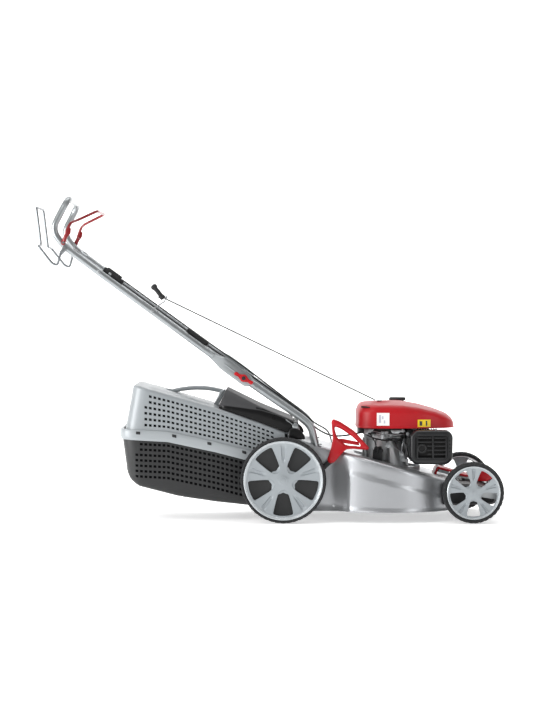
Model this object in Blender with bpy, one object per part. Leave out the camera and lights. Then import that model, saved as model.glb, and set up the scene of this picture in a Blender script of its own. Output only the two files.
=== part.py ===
"""Petrol walk-behind lawn mower: steel deck, side-folding handle, grass box, four spoked wheels.

Lengths are metres, +X is forward, +Y the mower's left, +Z up, and the tyres stand on z = 0.
Shapes are drawn from the point on the ground under the box's tail joint line; the root empty
then moves the whole mower so that its bounding box is centred on the origin.
"""
import math

import bmesh
import bpy
from mathutils import Matrix, Vector

for leftover in list(bpy.data.objects):
    bpy.data.objects.remove(leftover)

# ---- driving sizes -------------------------------------------------------------------------
GAP = 0.0003                     # air between pieces that touch
REAR_AXLE = (0.0435, 0.140)      # x, z of the rear wheel centres; the tyre radius is the height
WHEELBASE = 0.6185
FRONT_WHEEL_RADIUS = 0.100
TRACK_OUTSIDE = 0.530            # over the outer faces of the tyres
WHEEL_WIDTH = 0.050
CRANK_REACH = (0.070, -0.015)    # from a wheel centre to the shaft that its crank turns on
CRANK_THICKNESS = 0.006
SHAFT_RADIUS = 0.0075
SHAFT_CLEARANCE = 0.0010

DECK_RADIUS = 0.250              # round part, about the blade's axis
BLADE_X = 0.386
DECK_SKIRT_Z = 0.034
DECK_WALL = 0.0020
CHANNEL_HALF = 0.185             # half-width of the deck between the rear wheels
ENGINE_BED_Z = 0.165
ENGINE_BED_RADIUS = 0.118
BLADE_LENGTH = 0.450
CRANKSHAFT_RADIUS = 0.0125

HANDLE_TUBE_RADIUS = 0.0125
RAIL_RADIUS = 0.0110
LOWER_HANDLE_Y = 0.1725
RAIL_Y = 0.1980
FOLD_PIVOT = (-0.086, 0.471)     # x, z of the clamp bolts
GRIP = (-0.660, 1.057)           # x, z of the handle's cross grip
BRAKE_BAIL_PIVOT = (-0.6735, 0.9136)
DRIVE_BAIL_PIVOT = (-0.681, 0.884)
BRAKE_BAIL_RADIUS = 0.0045
DRIVE_BAIL_RADIUS = 0.0033

BOX_WALL = 0.0025
BOX_HALF_REAR = 0.197
BOX_HALF_FRONT = 0.160
BOX_TAIL_X = -0.486
FLAP_HINGE = (0.083, 0.312)
FLAP_WALL = 0.0030

CABLE_RADIUS = 0.0028
TUBE_INSIDE_Y = LOWER_HANDLE_Y - HANDLE_TUBE_RADIUS
PLATE_Y = LOWER_HANDLE_Y + HANDLE_TUBE_RADIUS + 0.002   # inner face of the flattened ends
CABLE_Y = TUBE_INSIDE_Y - CABLE_RADIUS - 0.0012
FLAP_HALF = CABLE_Y - CABLE_RADIUS - 0.0032
FRONT_AXLE = (REAR_AXLE[0] + WHEELBASE, FRONT_WHEEL_RADIUS)
REAR_WHEEL_RADIUS = REAR_AXLE[1]
WHEEL_IN = TRACK_OUTSIDE / 2 - WHEEL_WIDTH
REAR_CRANK = (REAR_AXLE[0] + CRANK_REACH[0], REAR_AXLE[1] + CRANK_REACH[1])
FRONT_CRANK = (FRONT_AXLE[0] + CRANK_REACH[0], FRONT_AXLE[1] + CRANK_REACH[1])
CRANK_Y = CHANNEL_HALF + 0.0075
DRIVE_BAIL_TOP = (-0.772, 1.0325)
FRONT_X = FRONT_AXLE[0] + FRONT_WHEEL_RADIUS
REAR_X = DRIVE_BAIL_TOP[0] - DRIVE_BAIL_RADIUS

# ---- shape tools ---------------------------------------------------------------------------


def mesh_object(vertices, faces):
    """A closed mesh object from points and faces, its normals turned outward."""
    work = bmesh.new()
    made = [work.verts.new(point) for point in vertices]
    for face in faces:
        work.faces.new([made[i] for i in face])
    bmesh.ops.remove_doubles(work, verts=work.verts, dist=1e-6)
    bmesh.ops.recalc_face_normals(work, faces=work.faces)
    data = bpy.data.meshes.new("shape")
    work.to_mesh(data)
    work.free()
    obj = bpy.data.objects.new("shape", data)
    bpy.context.scene.collection.objects.link(obj)
    return obj


def along(axis, u, v, t):
    """The point whose coordinate on the axis is t, and the other two are u and v in order."""
    return {"X": (t, u, v), "Y": (u, t, v), "Z": (u, v, t)}[axis]


def prism(outline, axis, start, end):
    """The 2-D outline pushed along an axis from start to end."""
    count = len(outline)
    points = [along(axis, u, v, start) for u, v in outline]
    points += [along(axis, u, v, end) for u, v in outline]
    sides = [(i, (i + 1) % count, count + (i + 1) % count, count + i) for i in range(count)]
    return mesh_object(points, sides + [tuple(range(count)), tuple(range(count, 2 * count))])


def block(x0, x1, y0, y1, z0, z1):
    return prism([(x0, y0), (x1, y0), (x1, y1), (x0, y1)], "Z", z0, z1)


def ring_points(sides, radius, start=0.0):
    """A regular polygon whose flats lie at the radius, the first flat facing the start angle."""
    corner = radius / math.cos(math.pi / sides)
    turns = [start + (i + 0.5) * 2 * math.pi / sides for i in range(sides)]
    return [(corner * math.cos(a), corner * math.sin(a)) for a in turns]


def lathe(profile, axis, centre, sides):
    """A closed (radius, position) profile turned about an axis through the 2-D centre."""
    rows = []
    for radius, position in profile:
        ring = ring_points(sides, radius, -math.pi / 2)
        rows.append([along(axis, centre[0] + u, centre[1] + v, position) for u, v in ring])
    faces = []
    count = len(rows)
    for i in range(count):
        j = (i + 1) % count
        for k in range(sides):
            m = (k + 1) % sides
            faces.append((i * sides + k, i * sides + m, j * sides + m, j * sides + k))
    return mesh_object([point for row in rows for point in row], faces)


def drum(radius, axis, centre, start, end, sides=20):
    """A solid cylinder along an axis, its flats at the radius."""
    ring = ring_points(sides, radius, -math.pi / 2)
    return prism([(centre[0] + u, centre[1] + v) for u, v in ring], axis, start, end)


def rounded_path(points, bend):
    """The polyline with each inner corner replaced by a short arc."""
    points = [Vector(p) for p in points]
    path = [points[0]]
    for before, corner, after in zip(points, points[1:], points[2:]):
        reach = min(bend, (before - corner).length * 0.45, (after - corner).length * 0.45)
        first = corner + (before - corner).normalized() * reach
        last = corner + (after - corner).normalized() * reach
        for step in (0.0, 0.33, 0.67, 1.0):
            path.append(first.lerp(corner, step).lerp(corner.lerp(last, step), step))
    path.append(points[-1])
    return path


def tube(points, radius, sides=10, bend=0.03, flat=1.0):
    """A round rod along a path with rounded corners; flat squeezes its section across Y."""
    path = rounded_path(points, bend)
    frame = None
    rows = []
    for i, here in enumerate(path):
        back = path[max(i - 1, 0)]
        front = path[min(i + 1, len(path) - 1)]
        heading = (front - back).normalized()
        if frame is None:
            frame = heading.cross(Vector((0, 1, 0)))
            if frame.length < 0.3:
                frame = heading.cross(Vector((1, 0, 0)))
        frame = (frame - heading * frame.dot(heading)).normalized()
        side = heading.cross(frame)
        for k in range(sides):
            turn = 2 * math.pi * (k + 0.5) / sides
            offset = frame * math.cos(turn) * radius + side * math.sin(turn) * radius * flat
            rows.append(here + offset)
    faces = []
    for i in range(len(path) - 1):
        for k in range(sides):
            m = (k + 1) % sides
            faces.append((i * sides + k, i * sides + m, (i + 1) * sides + m, (i + 1) * sides + k))
    last = (len(path) - 1) * sides
    faces += [tuple(range(sides)), tuple(range(last, last + sides))]
    return mesh_object(rows, faces)


def settled(base, operation, others):
    """The base after an exact Boolean with each of the others, which are then removed."""
    for other in others:
        step = base.modifiers.new(operation.lower(), "BOOLEAN")
        step.operation = operation
        step.solver = "EXACT"
        step.object = other
    bpy.context.view_layer.update()
    graph = bpy.context.evaluated_depsgraph_get()
    base.data = bpy.data.meshes.new_from_object(base.evaluated_get(graph))
    base.modifiers.clear()
    for other in others:
        bpy.data.objects.remove(other)
    return base


def joined(base, *others):
    return settled(base, "UNION", others)


def less(base, *others):
    return settled(base, "DIFFERENCE", others)


def common(base, *others):
    return settled(base, "INTERSECT", others)


def inset(outline, amount):
    """The outline moved inward by the amount, corner by corner (points run either way round)."""
    area = sum(a[0] * b[1] - b[0] * a[1] for a, b in zip(outline, outline[1:] + outline[:1]))
    sign = 1 if area > 0 else -1
    moved = []
    for before, here, after in zip(outline[-1:] + outline[:-1], outline, outline[1:] + outline[:1]):
        first = Vector((here[0] - before[0], here[1] - before[1])).normalized()
        second = Vector((after[0] - here[0], after[1] - here[1])).normalized()
        normal_1 = Vector((-first.y, first.x)) * sign
        normal_2 = Vector((-second.y, second.x)) * sign
        middle = (normal_1 + normal_2).normalized()
        reach = amount / max(middle.dot(normal_1), 0.4)
        moved.append((here[0] + middle.x * reach, here[1] + middle.y * reach))
    return moved


# ---- finishes ------------------------------------------------------------------------------


def finish(name, colour, roughness, metallic=0.0):
    material = bpy.data.materials.new(name)
    material.use_nodes = True
    shader = material.node_tree.nodes["Principled BSDF"]
    linear = [(int(colour[i:i + 2], 16) / 255) ** 2.2 for i in (0, 2, 4)]
    shader.inputs["Base Color"].default_value = (*linear, 1)
    shader.inputs["Roughness"].default_value = roughness
    shader.inputs["Metallic"].default_value = metallic
    return material


DECK_STEEL = finish("deck_steel", "b4b6ba", 0.35, 0.9)
TUBE_STEEL = finish("tube_steel", "a9acb0", 0.35, 0.9)
BARE_STEEL = finish("bare_steel", "8f9296", 0.40, 1.0)
BLACK_STEEL = finish("black_steel", "1c1d1f", 0.50, 0.4)
ALUMINIUM = finish("cast_aluminium", "b3b6b8", 0.50, 0.9)
RED_PLASTIC = finish("red_plastic", "c01822", 0.30)
RED_STEEL = finish("red_steel", "b81a22", 0.35)
BLACK_PLASTIC = finish("black_plastic", "1d1e20", 0.50)
GREY_PLASTIC = finish("grey_plastic", "a5a8ac", 0.45)
RIM_PLASTIC = finish("rim_plastic", "b9bdc1", 0.40, 0.3)
TYRE_RUBBER = finish("tyre_rubber", "2b2d30", 0.80)
CORD = finish("cord", "202123", 0.70)

# ---- the tree of moving frames -------------------------------------------------------------
FRAMES = {}


def frame(name, point, parent=None):
    """An empty on a joint's axis; the pieces that turn with it hang on it."""
    empty = bpy.data.objects.new(name, None)
    bpy.context.scene.collection.objects.link(empty)
    empty.empty_display_size = 0.02
    if parent:
        empty.parent = FRAMES[parent][0]
        empty.location = Vector(point) - FRAMES[parent][1]
    FRAMES[name] = (empty, Vector(point))


def node(name, shape, material, parent="mower", origin=None, sharp=35):
    """Names a finished shape, gives it its material, and hangs it on its frame."""
    home, home_point = FRAMES[parent]
    point = Vector(origin) if origin else home_point
    shape.data.transform(Matrix.Translation(-point))
    shape.location = point - home_point
    shape.parent = home
    shape.name = name
    shape.data.name = name
    shape.data.materials.clear()
    shape.data.materials.append(material)
    shape.data.shade_smooth()
    shape.data.set_sharp_from_angle(angle=math.radians(sharp))


frame("mower", (0, 0, 0))
FRAMES["mower"][0].location.x = -(FRONT_X + REAR_X) / 2
frame("handle_fold", (FOLD_PIVOT[0], 0, FOLD_PIVOT[1]), "mower")
frame("rear_crank", (REAR_CRANK[0], 0, REAR_CRANK[1]), "mower")
frame("front_crank", (FRONT_CRANK[0], 0, FRONT_CRANK[1]), "mower")
frame("crank_line", (BLADE_X, 0, ENGINE_BED_Z), "mower")
frame("grass_box", (0, 0, 0), "mower")

# ---- deck: one pressed shell, round over the blade, with a channel to the rear -------------
DECK_PLAN = [(0.060, -CHANNEL_HALF), (0.215, -CHANNEL_HALF), (0.245, -0.198)]
DECK_PLAN += [
    (BLADE_X + DECK_RADIUS * math.cos(math.radians(a)), DECK_RADIUS * math.sin(math.radians(a)))
    for a in range(-115, 116, 10)
]
DECK_PLAN += [(0.245, 0.198), (0.215, CHANNEL_HALF), (0.060, CHANNEL_HALF)]
DECK_SIDE = [
    (0.060, DECK_SKIRT_Z), (0.060, 0.272), (0.090, 0.272), (0.154, 0.251), (0.260, 0.2235),
    (0.420, 0.180), (0.520, 0.153), (0.580, 0.138), (0.610, 0.132), (0.640, 0.122),
    (0.640, DECK_SKIRT_Z),
]
deck = common(prism(DECK_PLAN, "Z", 0, 0.4), prism(DECK_SIDE, "Y", -0.3, 0.3))
deck = less(deck, drum(ENGINE_BED_RADIUS, "Z", (BLADE_X, 0), ENGINE_BED_Z, 0.4, 28))
inner_plan = inset(DECK_PLAN, DECK_WALL)
inner_plan = [(x if x > 0.08 else 0.030, y) for x, y in inner_plan]
inner_side = inset(DECK_SIDE, DECK_WALL)
inner_side = [(x if x > 0.08 else 0.030, z if z > 0.05 else 0.0) for x, z in inner_side]
chamber = common(prism(inner_plan, "Z", 0, 0.4), prism(inner_side, "Y", -0.3, 0.3))
chamber = less(
    chamber,
    drum(ENGINE_BED_RADIUS + DECK_WALL, "Z", (BLADE_X, 0), ENGINE_BED_Z - DECK_WALL, 0.4, 28),
)
deck = less(deck, chamber)
deck = less(
    deck,
    drum(CRANKSHAFT_RADIUS + 0.006, "Z", (BLADE_X, 0), 0.1, 0.2),
    drum(SHAFT_RADIUS + SHAFT_CLEARANCE, "Y", REAR_CRANK, -0.3, 0.3),
)
for side in (-1, 1):
    lug = prism(
        [(0.066, 0.262), (0.104, 0.262), (0.096, 0.318), (0.089, 0.325), (0.077, 0.325),
         (0.070, 0.318)],
        "Y", side * 0.1762, side * 0.1800,
    )
    deck = joined(deck, lug)
deck = less(deck, drum(0.0052, "Y", FLAP_HINGE, -0.3, 0.3, 12))
node("deck", deck, DECK_STEEL)

# ---- engine ---------------------------------------------------------------------------------
CASE_TOP = 0.2795
crankcase = joined(
    drum(0.078, "Z", (BLADE_X, 0), ENGINE_BED_Z + GAP, 0.192, 16),
    drum(0.070, "Z", (BLADE_X, 0), 0.185, CASE_TOP, 16),
    drum(0.012, "Z", (0.360, -0.090), 0.172, 0.2222, 12),
    block(0.345, 0.375, -0.092, -0.060, 0.172, 0.190),
    block(0.318, 0.332, -0.090, 0.090, ENGINE_BED_Z + GAP, 0.174),
)
crankcase = less(crankcase, drum(CRANKSHAFT_RADIUS + 0.0010, "Z", (BLADE_X, 0), 0.1, 0.4, 16))
node("crankcase", crankcase, ALUMINIUM, sharp=25)

CYLINDER_X = (0.4585, 0.560)
fins = [
    block(x, x + 0.0035, -0.058, 0.058, 0.188, 0.292)
    for x in (0.468, 0.482, 0.496, 0.510, 0.524, 0.538, 0.552)
]
cylinder = joined(block(*CYLINDER_X, -0.046, 0.046, 0.196, 0.284), *fins)
cylinder = less(cylinder, drum(0.0783, "Z", (BLADE_X, 0), 0.1, 0.4, 32))
node("cylinder_block", cylinder, ALUMINIUM, sharp=25)

COVER_BASE_Z = 0.303
COVER_SIDE = [
    (0.2885, COVER_BASE_Z), (0.2875, 0.345), (0.292, 0.368), (0.303, 0.381), (0.325, 0.389),
    (0.370, 0.3915), (0.430, 0.3905), (0.490, 0.381), (0.545, 0.366), (0.585, 0.349),
    (0.603, 0.333), (0.609, 0.316), (0.609, COVER_BASE_Z),
]
COVER_PLAN = [
    (0.287, -0.085), (0.296, -0.118), (0.318, -0.139), (0.355, -0.147), (0.420, -0.147),
    (0.500, -0.138), (0.560, -0.122), (0.592, -0.100), (0.606, -0.072), (0.6095, -0.040),
]
COVER_PLAN += [(x, -y) for x, y in reversed(COVER_PLAN)]
TANK_NECK = (0.432, 0.090)


def cover_form(shrink, base):
    side = [(x, z if z > COVER_BASE_Z + 0.01 else base) for x, z in inset(COVER_SIDE, shrink)]
    plan = inset(COVER_PLAN, shrink)
    crown = [
        (-0.16, base), (-0.16, 0.350 - shrink), (-0.125, 0.374 - shrink),
        (-0.070, 0.3905 - shrink), (0, 0.395 - shrink), (0.070, 0.3905 - shrink),
        (0.125, 0.374 - shrink), (0.16, 0.350 - shrink), (0.16, base),
    ]
    form = common(prism(plan, "Z", 0.2, 0.5), prism(side, "Y", -0.2, 0.2))
    return common(form, prism(crown, "X", 0.2, 0.7))


cover = less(cover_form(0, COVER_BASE_Z), cover_form(0.0025, 0.25))
cover = less(
    cover,
    drum(0.020, "Z", TANK_NECK, 0.33, 0.45, 16),
    drum(0.006, "Z", (0.368, -0.060), 0.36, 0.45, 10),
)
node("blower_housing", cover, RED_PLASTIC)

tank = joined(
    block(0.335, 0.545, 0.052, 0.118, 0.306, 0.352),
    drum(0.0165, "Z", TANK_NECK, 0.345, 0.3895, 16),
)
node("fuel_tank", tank, BLACK_PLASTIC)
cap = joined(
    drum(0.0270, "Z", TANK_NECK, 0.3935, 0.4035, 16),
    drum(0.0120, "Z", TANK_NECK, 0.3898, 0.3940, 16),
)
node("fuel_cap", cap, BLACK_PLASTIC, origin=(*TANK_NECK, 0.39))

OIL_NECK = (0.360, -0.090)
node(
    "oil_cap",
    joined(
        drum(0.0145, "Z", OIL_NECK, 0.2225, 0.2310, 12),
        block(OIL_NECK[0] - 0.011, OIL_NECK[0] + 0.011, -0.094, -0.086, 0.2305, 0.2400),
    ),
    BLACK_PLASTIC,
    origin=(*OIL_NECK, 0.2225),
)

GUARD_FACE_Y = -0.1950
GUARD_SIDE = [
    (0.4600, 0.2080), (0.4720, 0.1900), (0.5800, 0.1870), (0.5980, 0.2020), (0.6000, 0.2820),
    (0.5860, 0.2985), (0.4780, 0.2985), (0.4600, 0.2820),
]
guard = less(
    prism(GUARD_SIDE, "Y", GUARD_FACE_Y, -0.130),
    prism(inset(GUARD_SIDE, 0.0020), "Y", GUARD_FACE_Y + 0.0020, -0.120),
)
guard = less(guard, drum(0.0125, "Y", (0.4945, 0.238), -0.21, -0.18, 14))
node("muffler_guard", guard, BLACK_STEEL)
muffler = joined(
    block(0.4750, 0.5850, -0.172, -0.110, 0.2050, 0.2820),
    block(0.5000, 0.5300, -0.112, -0.0585, 0.2300, 0.2600),
)
node("muffler", muffler, BARE_STEEL)
node(
    "carburettor",
    joined(
        block(0.4700, 0.5100, 0.0585, 0.1050, 0.2250, 0.2600),
        drum(0.014, "Z", (0.490, 0.085), 0.200, 0.230, 14),
    ),
    ALUMINIUM,
)
node("air_filter_cover", block(0.4400, 0.5400, 0.1055, 0.1500, 0.2050, 0.2960), BLACK_PLASTIC)
node(
    "spark_plug",
    joined(
        drum(0.0080, "X", (0.0, 0.238), 0.5605, 0.5850, 12),
        drum(0.0055, "X", (0.0, 0.238), 0.5840, 0.6000, 12),
    ),
    BLACK_PLASTIC,
)

# Turning with the crankshaft: shaft, flywheel, blade.
BELT_Z = (0.1545, 0.1600)
crankshaft = joined(
    drum(CRANKSHAFT_RADIUS, "Z", (BLADE_X, 0), 0.0505, 0.3120, 16),
    drum(0.0170, "Z", (BLADE_X, 0), BELT_Z[0] - 0.0030, BELT_Z[1] + 0.0025, 16),
    drum(0.0200, "Z", (BLADE_X, 0), 0.0640, 0.0850, 16),
)
node("crankshaft", crankshaft, BARE_STEEL, "crank_line")
flywheel = drum(0.068, "Z", (BLADE_X, 0), CASE_TOP + 0.0010, 0.2995, 24)
flywheel = less(flywheel, drum(CRANKSHAFT_RADIUS + GAP, "Z", (BLADE_X, 0), 0.2, 0.4, 16))
node("flywheel", flywheel, ALUMINIUM, "crank_line")
half = BLADE_LENGTH / 2
blade_plan = [
    (BLADE_X - half, -0.022), (BLADE_X + half, -0.028), (BLADE_X + half, 0.022),
    (BLADE_X - half, 0.028),
]
blade = prism(blade_plan, "Z", 0.0560, 0.0600)
for side in (-1, 1):
    x0, x1 = BLADE_X + side * (half - 0.060), BLADE_X + side * half
    y0, y1 = -side * 0.028, -side * 0.014
    lift = prism([(y1, 0.0595), (y0, 0.0740), (y0, 0.0775), (y1, 0.0600), (0, 0.0600),
                  (0, 0.0570), (y1, 0.0570)], "X", x0, x1)
    blade = joined(blade, lift)
blade = less(blade, drum(CRANKSHAFT_RADIUS + GAP, "Z", (BLADE_X, 0), 0, 0.2, 16))
node("blade", blade, BARE_STEEL, "crank_line")
node(
    "starter_pulley",
    lathe([(0.008, 0.3180), (0.034, 0.3180), (0.034, 0.3210), (0.026, 0.3240), (0.034, 0.3270),
           (0.034, 0.3300), (0.008, 0.3300)], "Z", (BLADE_X, 0), 20),
    BLACK_PLASTIC, "crank_line",
)

# ---- drive to the rear wheels ---------------------------------------------------------------
PULLEY_X = 0.052
gearbox = joined(
    block(0.0220, 0.0650, -0.0300, 0.0300, 0.1180, 0.1500),
    drum(0.0120, "Z", (PULLEY_X, 0), 0.1490, 0.1512, 14),
)
gearbox = less(gearbox, drum(0.0056, "Y", REAR_AXLE, -0.1, 0.1, 12))
node("gearbox", gearbox, ALUMINIUM, "rear_crank")
node("drive_shaft", drum(0.0050, "Y", REAR_AXLE, -0.1900, 0.1900, 12), BARE_STEEL, "rear_crank",
     origin=(REAR_AXLE[0], 0, REAR_AXLE[1]))
node(
    "gearbox_pulley",
    lathe([(0.004, 0.1515), (0.030, 0.1515), (0.030, 0.1530), (0.0255, 0.1545),
           (0.0255, 0.1600), (0.030, 0.1615), (0.030, 0.1625), (0.004, 0.1625)],
          "Z", (PULLEY_X, 0), 20),
    BLACK_PLASTIC, "rear_crank",
    origin=(PULLEY_X, 0, 0.1515),
)


def belt_outline(grow):
    """The loop round the two pulleys, this much larger than their running circles."""
    small, large = 0.0180 + grow, 0.0270 + grow
    loop = [(BLADE_X + small * math.cos(math.radians(a)), small * math.sin(math.radians(a)))
            for a in range(-90, 91, 20)]
    loop += [(PULLEY_X + large * math.cos(math.radians(a)), large * math.sin(math.radians(a)))
             for a in range(90, 271, 20)]
    return loop


belt = less(
    prism(belt_outline(0.006), "Z", BELT_Z[0] + 0.0005, BELT_Z[1] - 0.0005),
    prism(belt_outline(0.0), "Z", 0.1, 0.2),
)
node("v_belt", belt, TYRE_RUBBER)

# ---- wheels ---------------------------------------------------------------------------------
TYRE_SIDES = 28


def wheel(label, side, centre, radius, parent, covered):
    """Tyre and five-spoke rim; a covered wheel also has a black disc behind its windows."""
    inner = side * WHEEL_IN
    hub_line = (0.0, 0.0)
    place = Matrix.Translation((centre[0], 0, centre[1]))
    rim_radius = radius * 0.885
    window_out = radius * 0.79
    tyre_profile = [
        (rim_radius + GAP, 0.0040), (radius - 0.0070, 0.0), (radius, 0.0080),
        (radius, WHEEL_WIDTH - 0.0090), (radius - 0.0080, WHEEL_WIDTH),
        (rim_radius + GAP, WHEEL_WIDTH - 0.0030),
    ]
    tyre = lathe([(r, inner + side * t) for r, t in tyre_profile], "Y", hub_line, TYRE_SIDES)
    origin = (centre[0], inner, centre[1])
    tyre.data.transform(place)
    node("tyre_" + label, tyre, TYRE_RUBBER, parent, origin)
    barrel = [
        (rim_radius, 0.0060), (rim_radius, WHEEL_WIDTH - 0.0040),
        (rim_radius - 0.0060, WHEEL_WIDTH - 0.0015), (window_out, WHEEL_WIDTH - 0.0080),
        (window_out, WHEEL_WIDTH - 0.0150), (rim_radius - 0.0040, WHEEL_WIDTH - 0.0180),
        (rim_radius - 0.0040, 0.0060),
    ]
    rim = lathe([(r, inner + side * t) for r, t in barrel], "Y", hub_line, TYRE_SIDES)
    web = drum(window_out + 0.0020, "Y", hub_line, inner + side * (WHEEL_WIDTH - 0.0140),
               inner + side * (WHEEL_WIDTH - 0.0090), TYRE_SIDES)
    windows = []
    for i in range(5):
        turn = math.radians(-90 + 72 * i)
        u = (math.cos(turn), math.sin(turn))
        v = (-u[1], u[0])
        shape = [(0.30, -0.070), (0.36, -0.100), (0.73, -0.205), (0.79, -0.200),
                 (0.79, 0.200), (0.73, 0.205), (0.36, 0.100), (0.30, 0.070)]
        outline = [
            (radius * (a * u[0] + b * v[0]), radius * (a * u[1] + b * v[1]))
            for a, b in shape
        ]
        windows.append(prism(outline, "Y", side * 0.2, side * 0.3))
    web = less(web, *windows)
    hub = drum(0.0170, "Y", hub_line, inner - side * 0.0020, inner + side * (WHEEL_WIDTH - 0.0080))
    rim = joined(rim, web, hub)
    rim = less(rim, drum(SHAFT_RADIUS + SHAFT_CLEARANCE, "Y", hub_line, inner - side * 0.01,
                         inner + side * (WHEEL_WIDTH - 0.0120), 16))
    rim.data.transform(place)
    node("rim_" + label, rim, RIM_PLASTIC, parent, origin)
    if covered:
        disc = lathe(
            [(0.0180, inner + side * (WHEEL_WIDTH - 0.0190)),
             (rim_radius - 0.0070, inner + side * (WHEEL_WIDTH - 0.0190)),
             (rim_radius - 0.0070, inner + side * (WHEEL_WIDTH - 0.0215)),
             (0.0180, inner + side * (WHEEL_WIDTH - 0.0215))],
            "Y", hub_line, TYRE_SIDES,
        )
        disc.data.transform(place)
        node("wheel_disc_" + label, disc, BLACK_PLASTIC, parent, origin)


def crank_axle(name, crank, axle, tube_half, parent):
    """Cross shaft with a crank and a wheel stub at each end, one welded piece."""
    parts = [drum(SHAFT_RADIUS, "Y", crank, -tube_half, tube_half, 12)]
    for side in (-1, 1):
        arm = [
            (crank[0] + 0.012, crank[1] - 0.012), (crank[0] + 0.012, crank[1] + 0.012),
            (axle[0] - 0.012, axle[1] + 0.012), (axle[0] - 0.012, axle[1] - 0.012),
        ]
        parts.append(prism(arm, "Y", side * CRANK_Y, side * (CRANK_Y + CRANK_THICKNESS)))
        parts.append(drum(SHAFT_RADIUS, "Y", axle, side * CRANK_Y,
                          side * (WHEEL_IN + WHEEL_WIDTH - 0.0140), 12))
    node(name, joined(*parts), BLACK_STEEL, parent)


crank_axle("rear_axle", REAR_CRANK, REAR_AXLE, CRANK_Y + CRANK_THICKNESS, "rear_crank")
crank_axle("front_axle", FRONT_CRANK, FRONT_AXLE, CRANK_Y + CRANK_THICKNESS, "front_crank")
for label, side in (("right", -1), ("left", 1)):
    wheel("front_" + label, side, FRONT_AXLE, FRONT_WHEEL_RADIUS, "front_crank", False)
    wheel("rear_" + label, side, REAR_AXLE, REAR_WHEEL_RADIUS, "rear_crank", True)

# ---- front apron and front carry handle -----------------------------------------------------
APRON_SIDE = [
    (0.560, 0.052), (0.742, 0.056), (0.748, 0.080), (0.742, 0.100), (0.690, 0.121),
    (0.600, 0.127), (0.560, 0.127),
]
APRON_HALF = 0.184
apron = prism(APRON_SIDE, "Y", -APRON_HALF, APRON_HALF)
hollow_side = [(x, z if z > 0.06 else 0.0) for x, z in inset(APRON_SIDE, 0.0030)]
apron = less(
    apron,
    prism(hollow_side, "Y", -APRON_HALF + 0.004, APRON_HALF - 0.004),
    drum(DECK_RADIUS + 0.0010, "Z", (BLADE_X, 0), 0, 0.3, 72),
    drum(SHAFT_RADIUS + SHAFT_CLEARANCE, "Y", FRONT_CRANK, -0.3, 0.3, 16),
)
node("front_apron", apron, BLACK_PLASTIC)
BOW = [
    (0.548, 0.1475), (0.556, 0.1720), (0.600, 0.1610), (0.652, 0.1430), (0.680, 0.1445),
    (0.705, 0.1560), (0.735, 0.1560), (0.748, 0.1350), (0.7435, 0.1015),
]
bow_under = [(x, z - 0.008) for x, z in BOW]
bow_under[0] = (0.560, 0.1445)
bow_under[-1] = (0.7335, 0.1055)
bow_under[-2] = (0.7380, 0.1330)
bow_under[-3] = (0.7300, 0.1480)
bow = prism(BOW + bow_under[::-1], "Y", -0.055, 0.055)
node("front_carry_handle", bow, RED_PLASTIC)

# ---- cutting height lever -------------------------------------------------------------------
LEVER_Y = (-0.2050, -0.1990)
stem = joined(
    drum(0.0140, "Y", REAR_CRANK, LEVER_Y[0], LEVER_Y[1] - GAP, 16),
    prism([(0.1080, 0.1350), (0.1230, 0.1180), (0.2060, 0.1960), (0.1930, 0.2060)],
          "Y", LEVER_Y[0], LEVER_Y[1] - GAP),
)
node("height_lever", stem, BLACK_STEEL, "rear_crank")
LOOP = [
    (0.2065, 0.3300), (0.2130, 0.3385), (0.2330, 0.3300), (0.2760, 0.2990), (0.3245, 0.2440),
    (0.3220, 0.2360), (0.2660, 0.2400), (0.2380, 0.2360), (0.2300, 0.2330), (0.2110, 0.1950), (0.1960, 0.1910),
    (0.1860, 0.2000), (0.2030, 0.2400), (0.2120, 0.2750), (0.2080, 0.3100),
]
LOOP_HOLE = [(0.2165, 0.3130), (0.2400, 0.3030), (0.2690, 0.2800), (0.3050, 0.2470),
             (0.2480, 0.2520), (0.2260, 0.2780)]
loop = less(prism(LOOP, "Y", -0.2125, -0.1900), prism(LOOP_HOLE, "Y", -0.3, 0.0))
loop = less(loop, prism([(0.1060, 0.1370), (0.1250, 0.1160), (0.2080, 0.1955), (0.1930, 0.2070)],
                        "Y", LEVER_Y[0] - GAP, LEVER_Y[1]))
loop = less(loop, block(0.222, 0.250, -0.1945, -0.1, 0.18, 0.2340))
node("height_lever_grip", loop, RED_PLASTIC, "rear_crank")
quadrant = [(0.1280, 0.1500), (0.1600, 0.1350), (0.1710, 0.1750), (0.1620, 0.2050),
            (0.1400, 0.2150), (0.1200, 0.2150)]
node("lever_quadrant", prism(quadrant, "Y", -CHANNEL_HALF - GAP, -CHANNEL_HALF - 0.0030),
     BLACK_STEEL)

# ---- lower handle, fixed to the deck --------------------------------------------------------
for label, side in (("right", -1), ("left", 1)):
    y = side * LOWER_HANDLE_Y
    leg = tube([(0.1500, y, 0.2475 + HANDLE_TUBE_RADIUS), (0.1360, y, 0.3100), (0.1050, y, 0.3390),
                (FOLD_PIVOT[0], y, FOLD_PIVOT[1])], HANDLE_TUBE_RADIUS, 12, 0.030)
    foot = prism([(0.1330, 0.2585), (0.1700, 0.2500), (0.1710, 0.2540), (0.1340, 0.2625)],
                 "Y", side * 0.1580, side * 0.1840)
    leg = joined(leg, foot)
    leg = less(leg, drum(0.0045, "Y", FOLD_PIVOT, side * 0.1, side * 0.3, 12))
    node("lower_handle_" + label, leg, TUBE_STEEL)
    bolt = joined(
        drum(0.0040, "Y", FOLD_PIVOT, side * (TUBE_INSIDE_Y - 0.0040),
             side * (PLATE_Y + 0.0230), 12),
        drum(0.0080, "Y", FOLD_PIVOT, side * (TUBE_INSIDE_Y - 0.0050),
             side * (TUBE_INSIDE_Y - 0.0010), 8),
    )
    node("clamp_bolt_" + label, bolt, BARE_STEEL)

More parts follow.
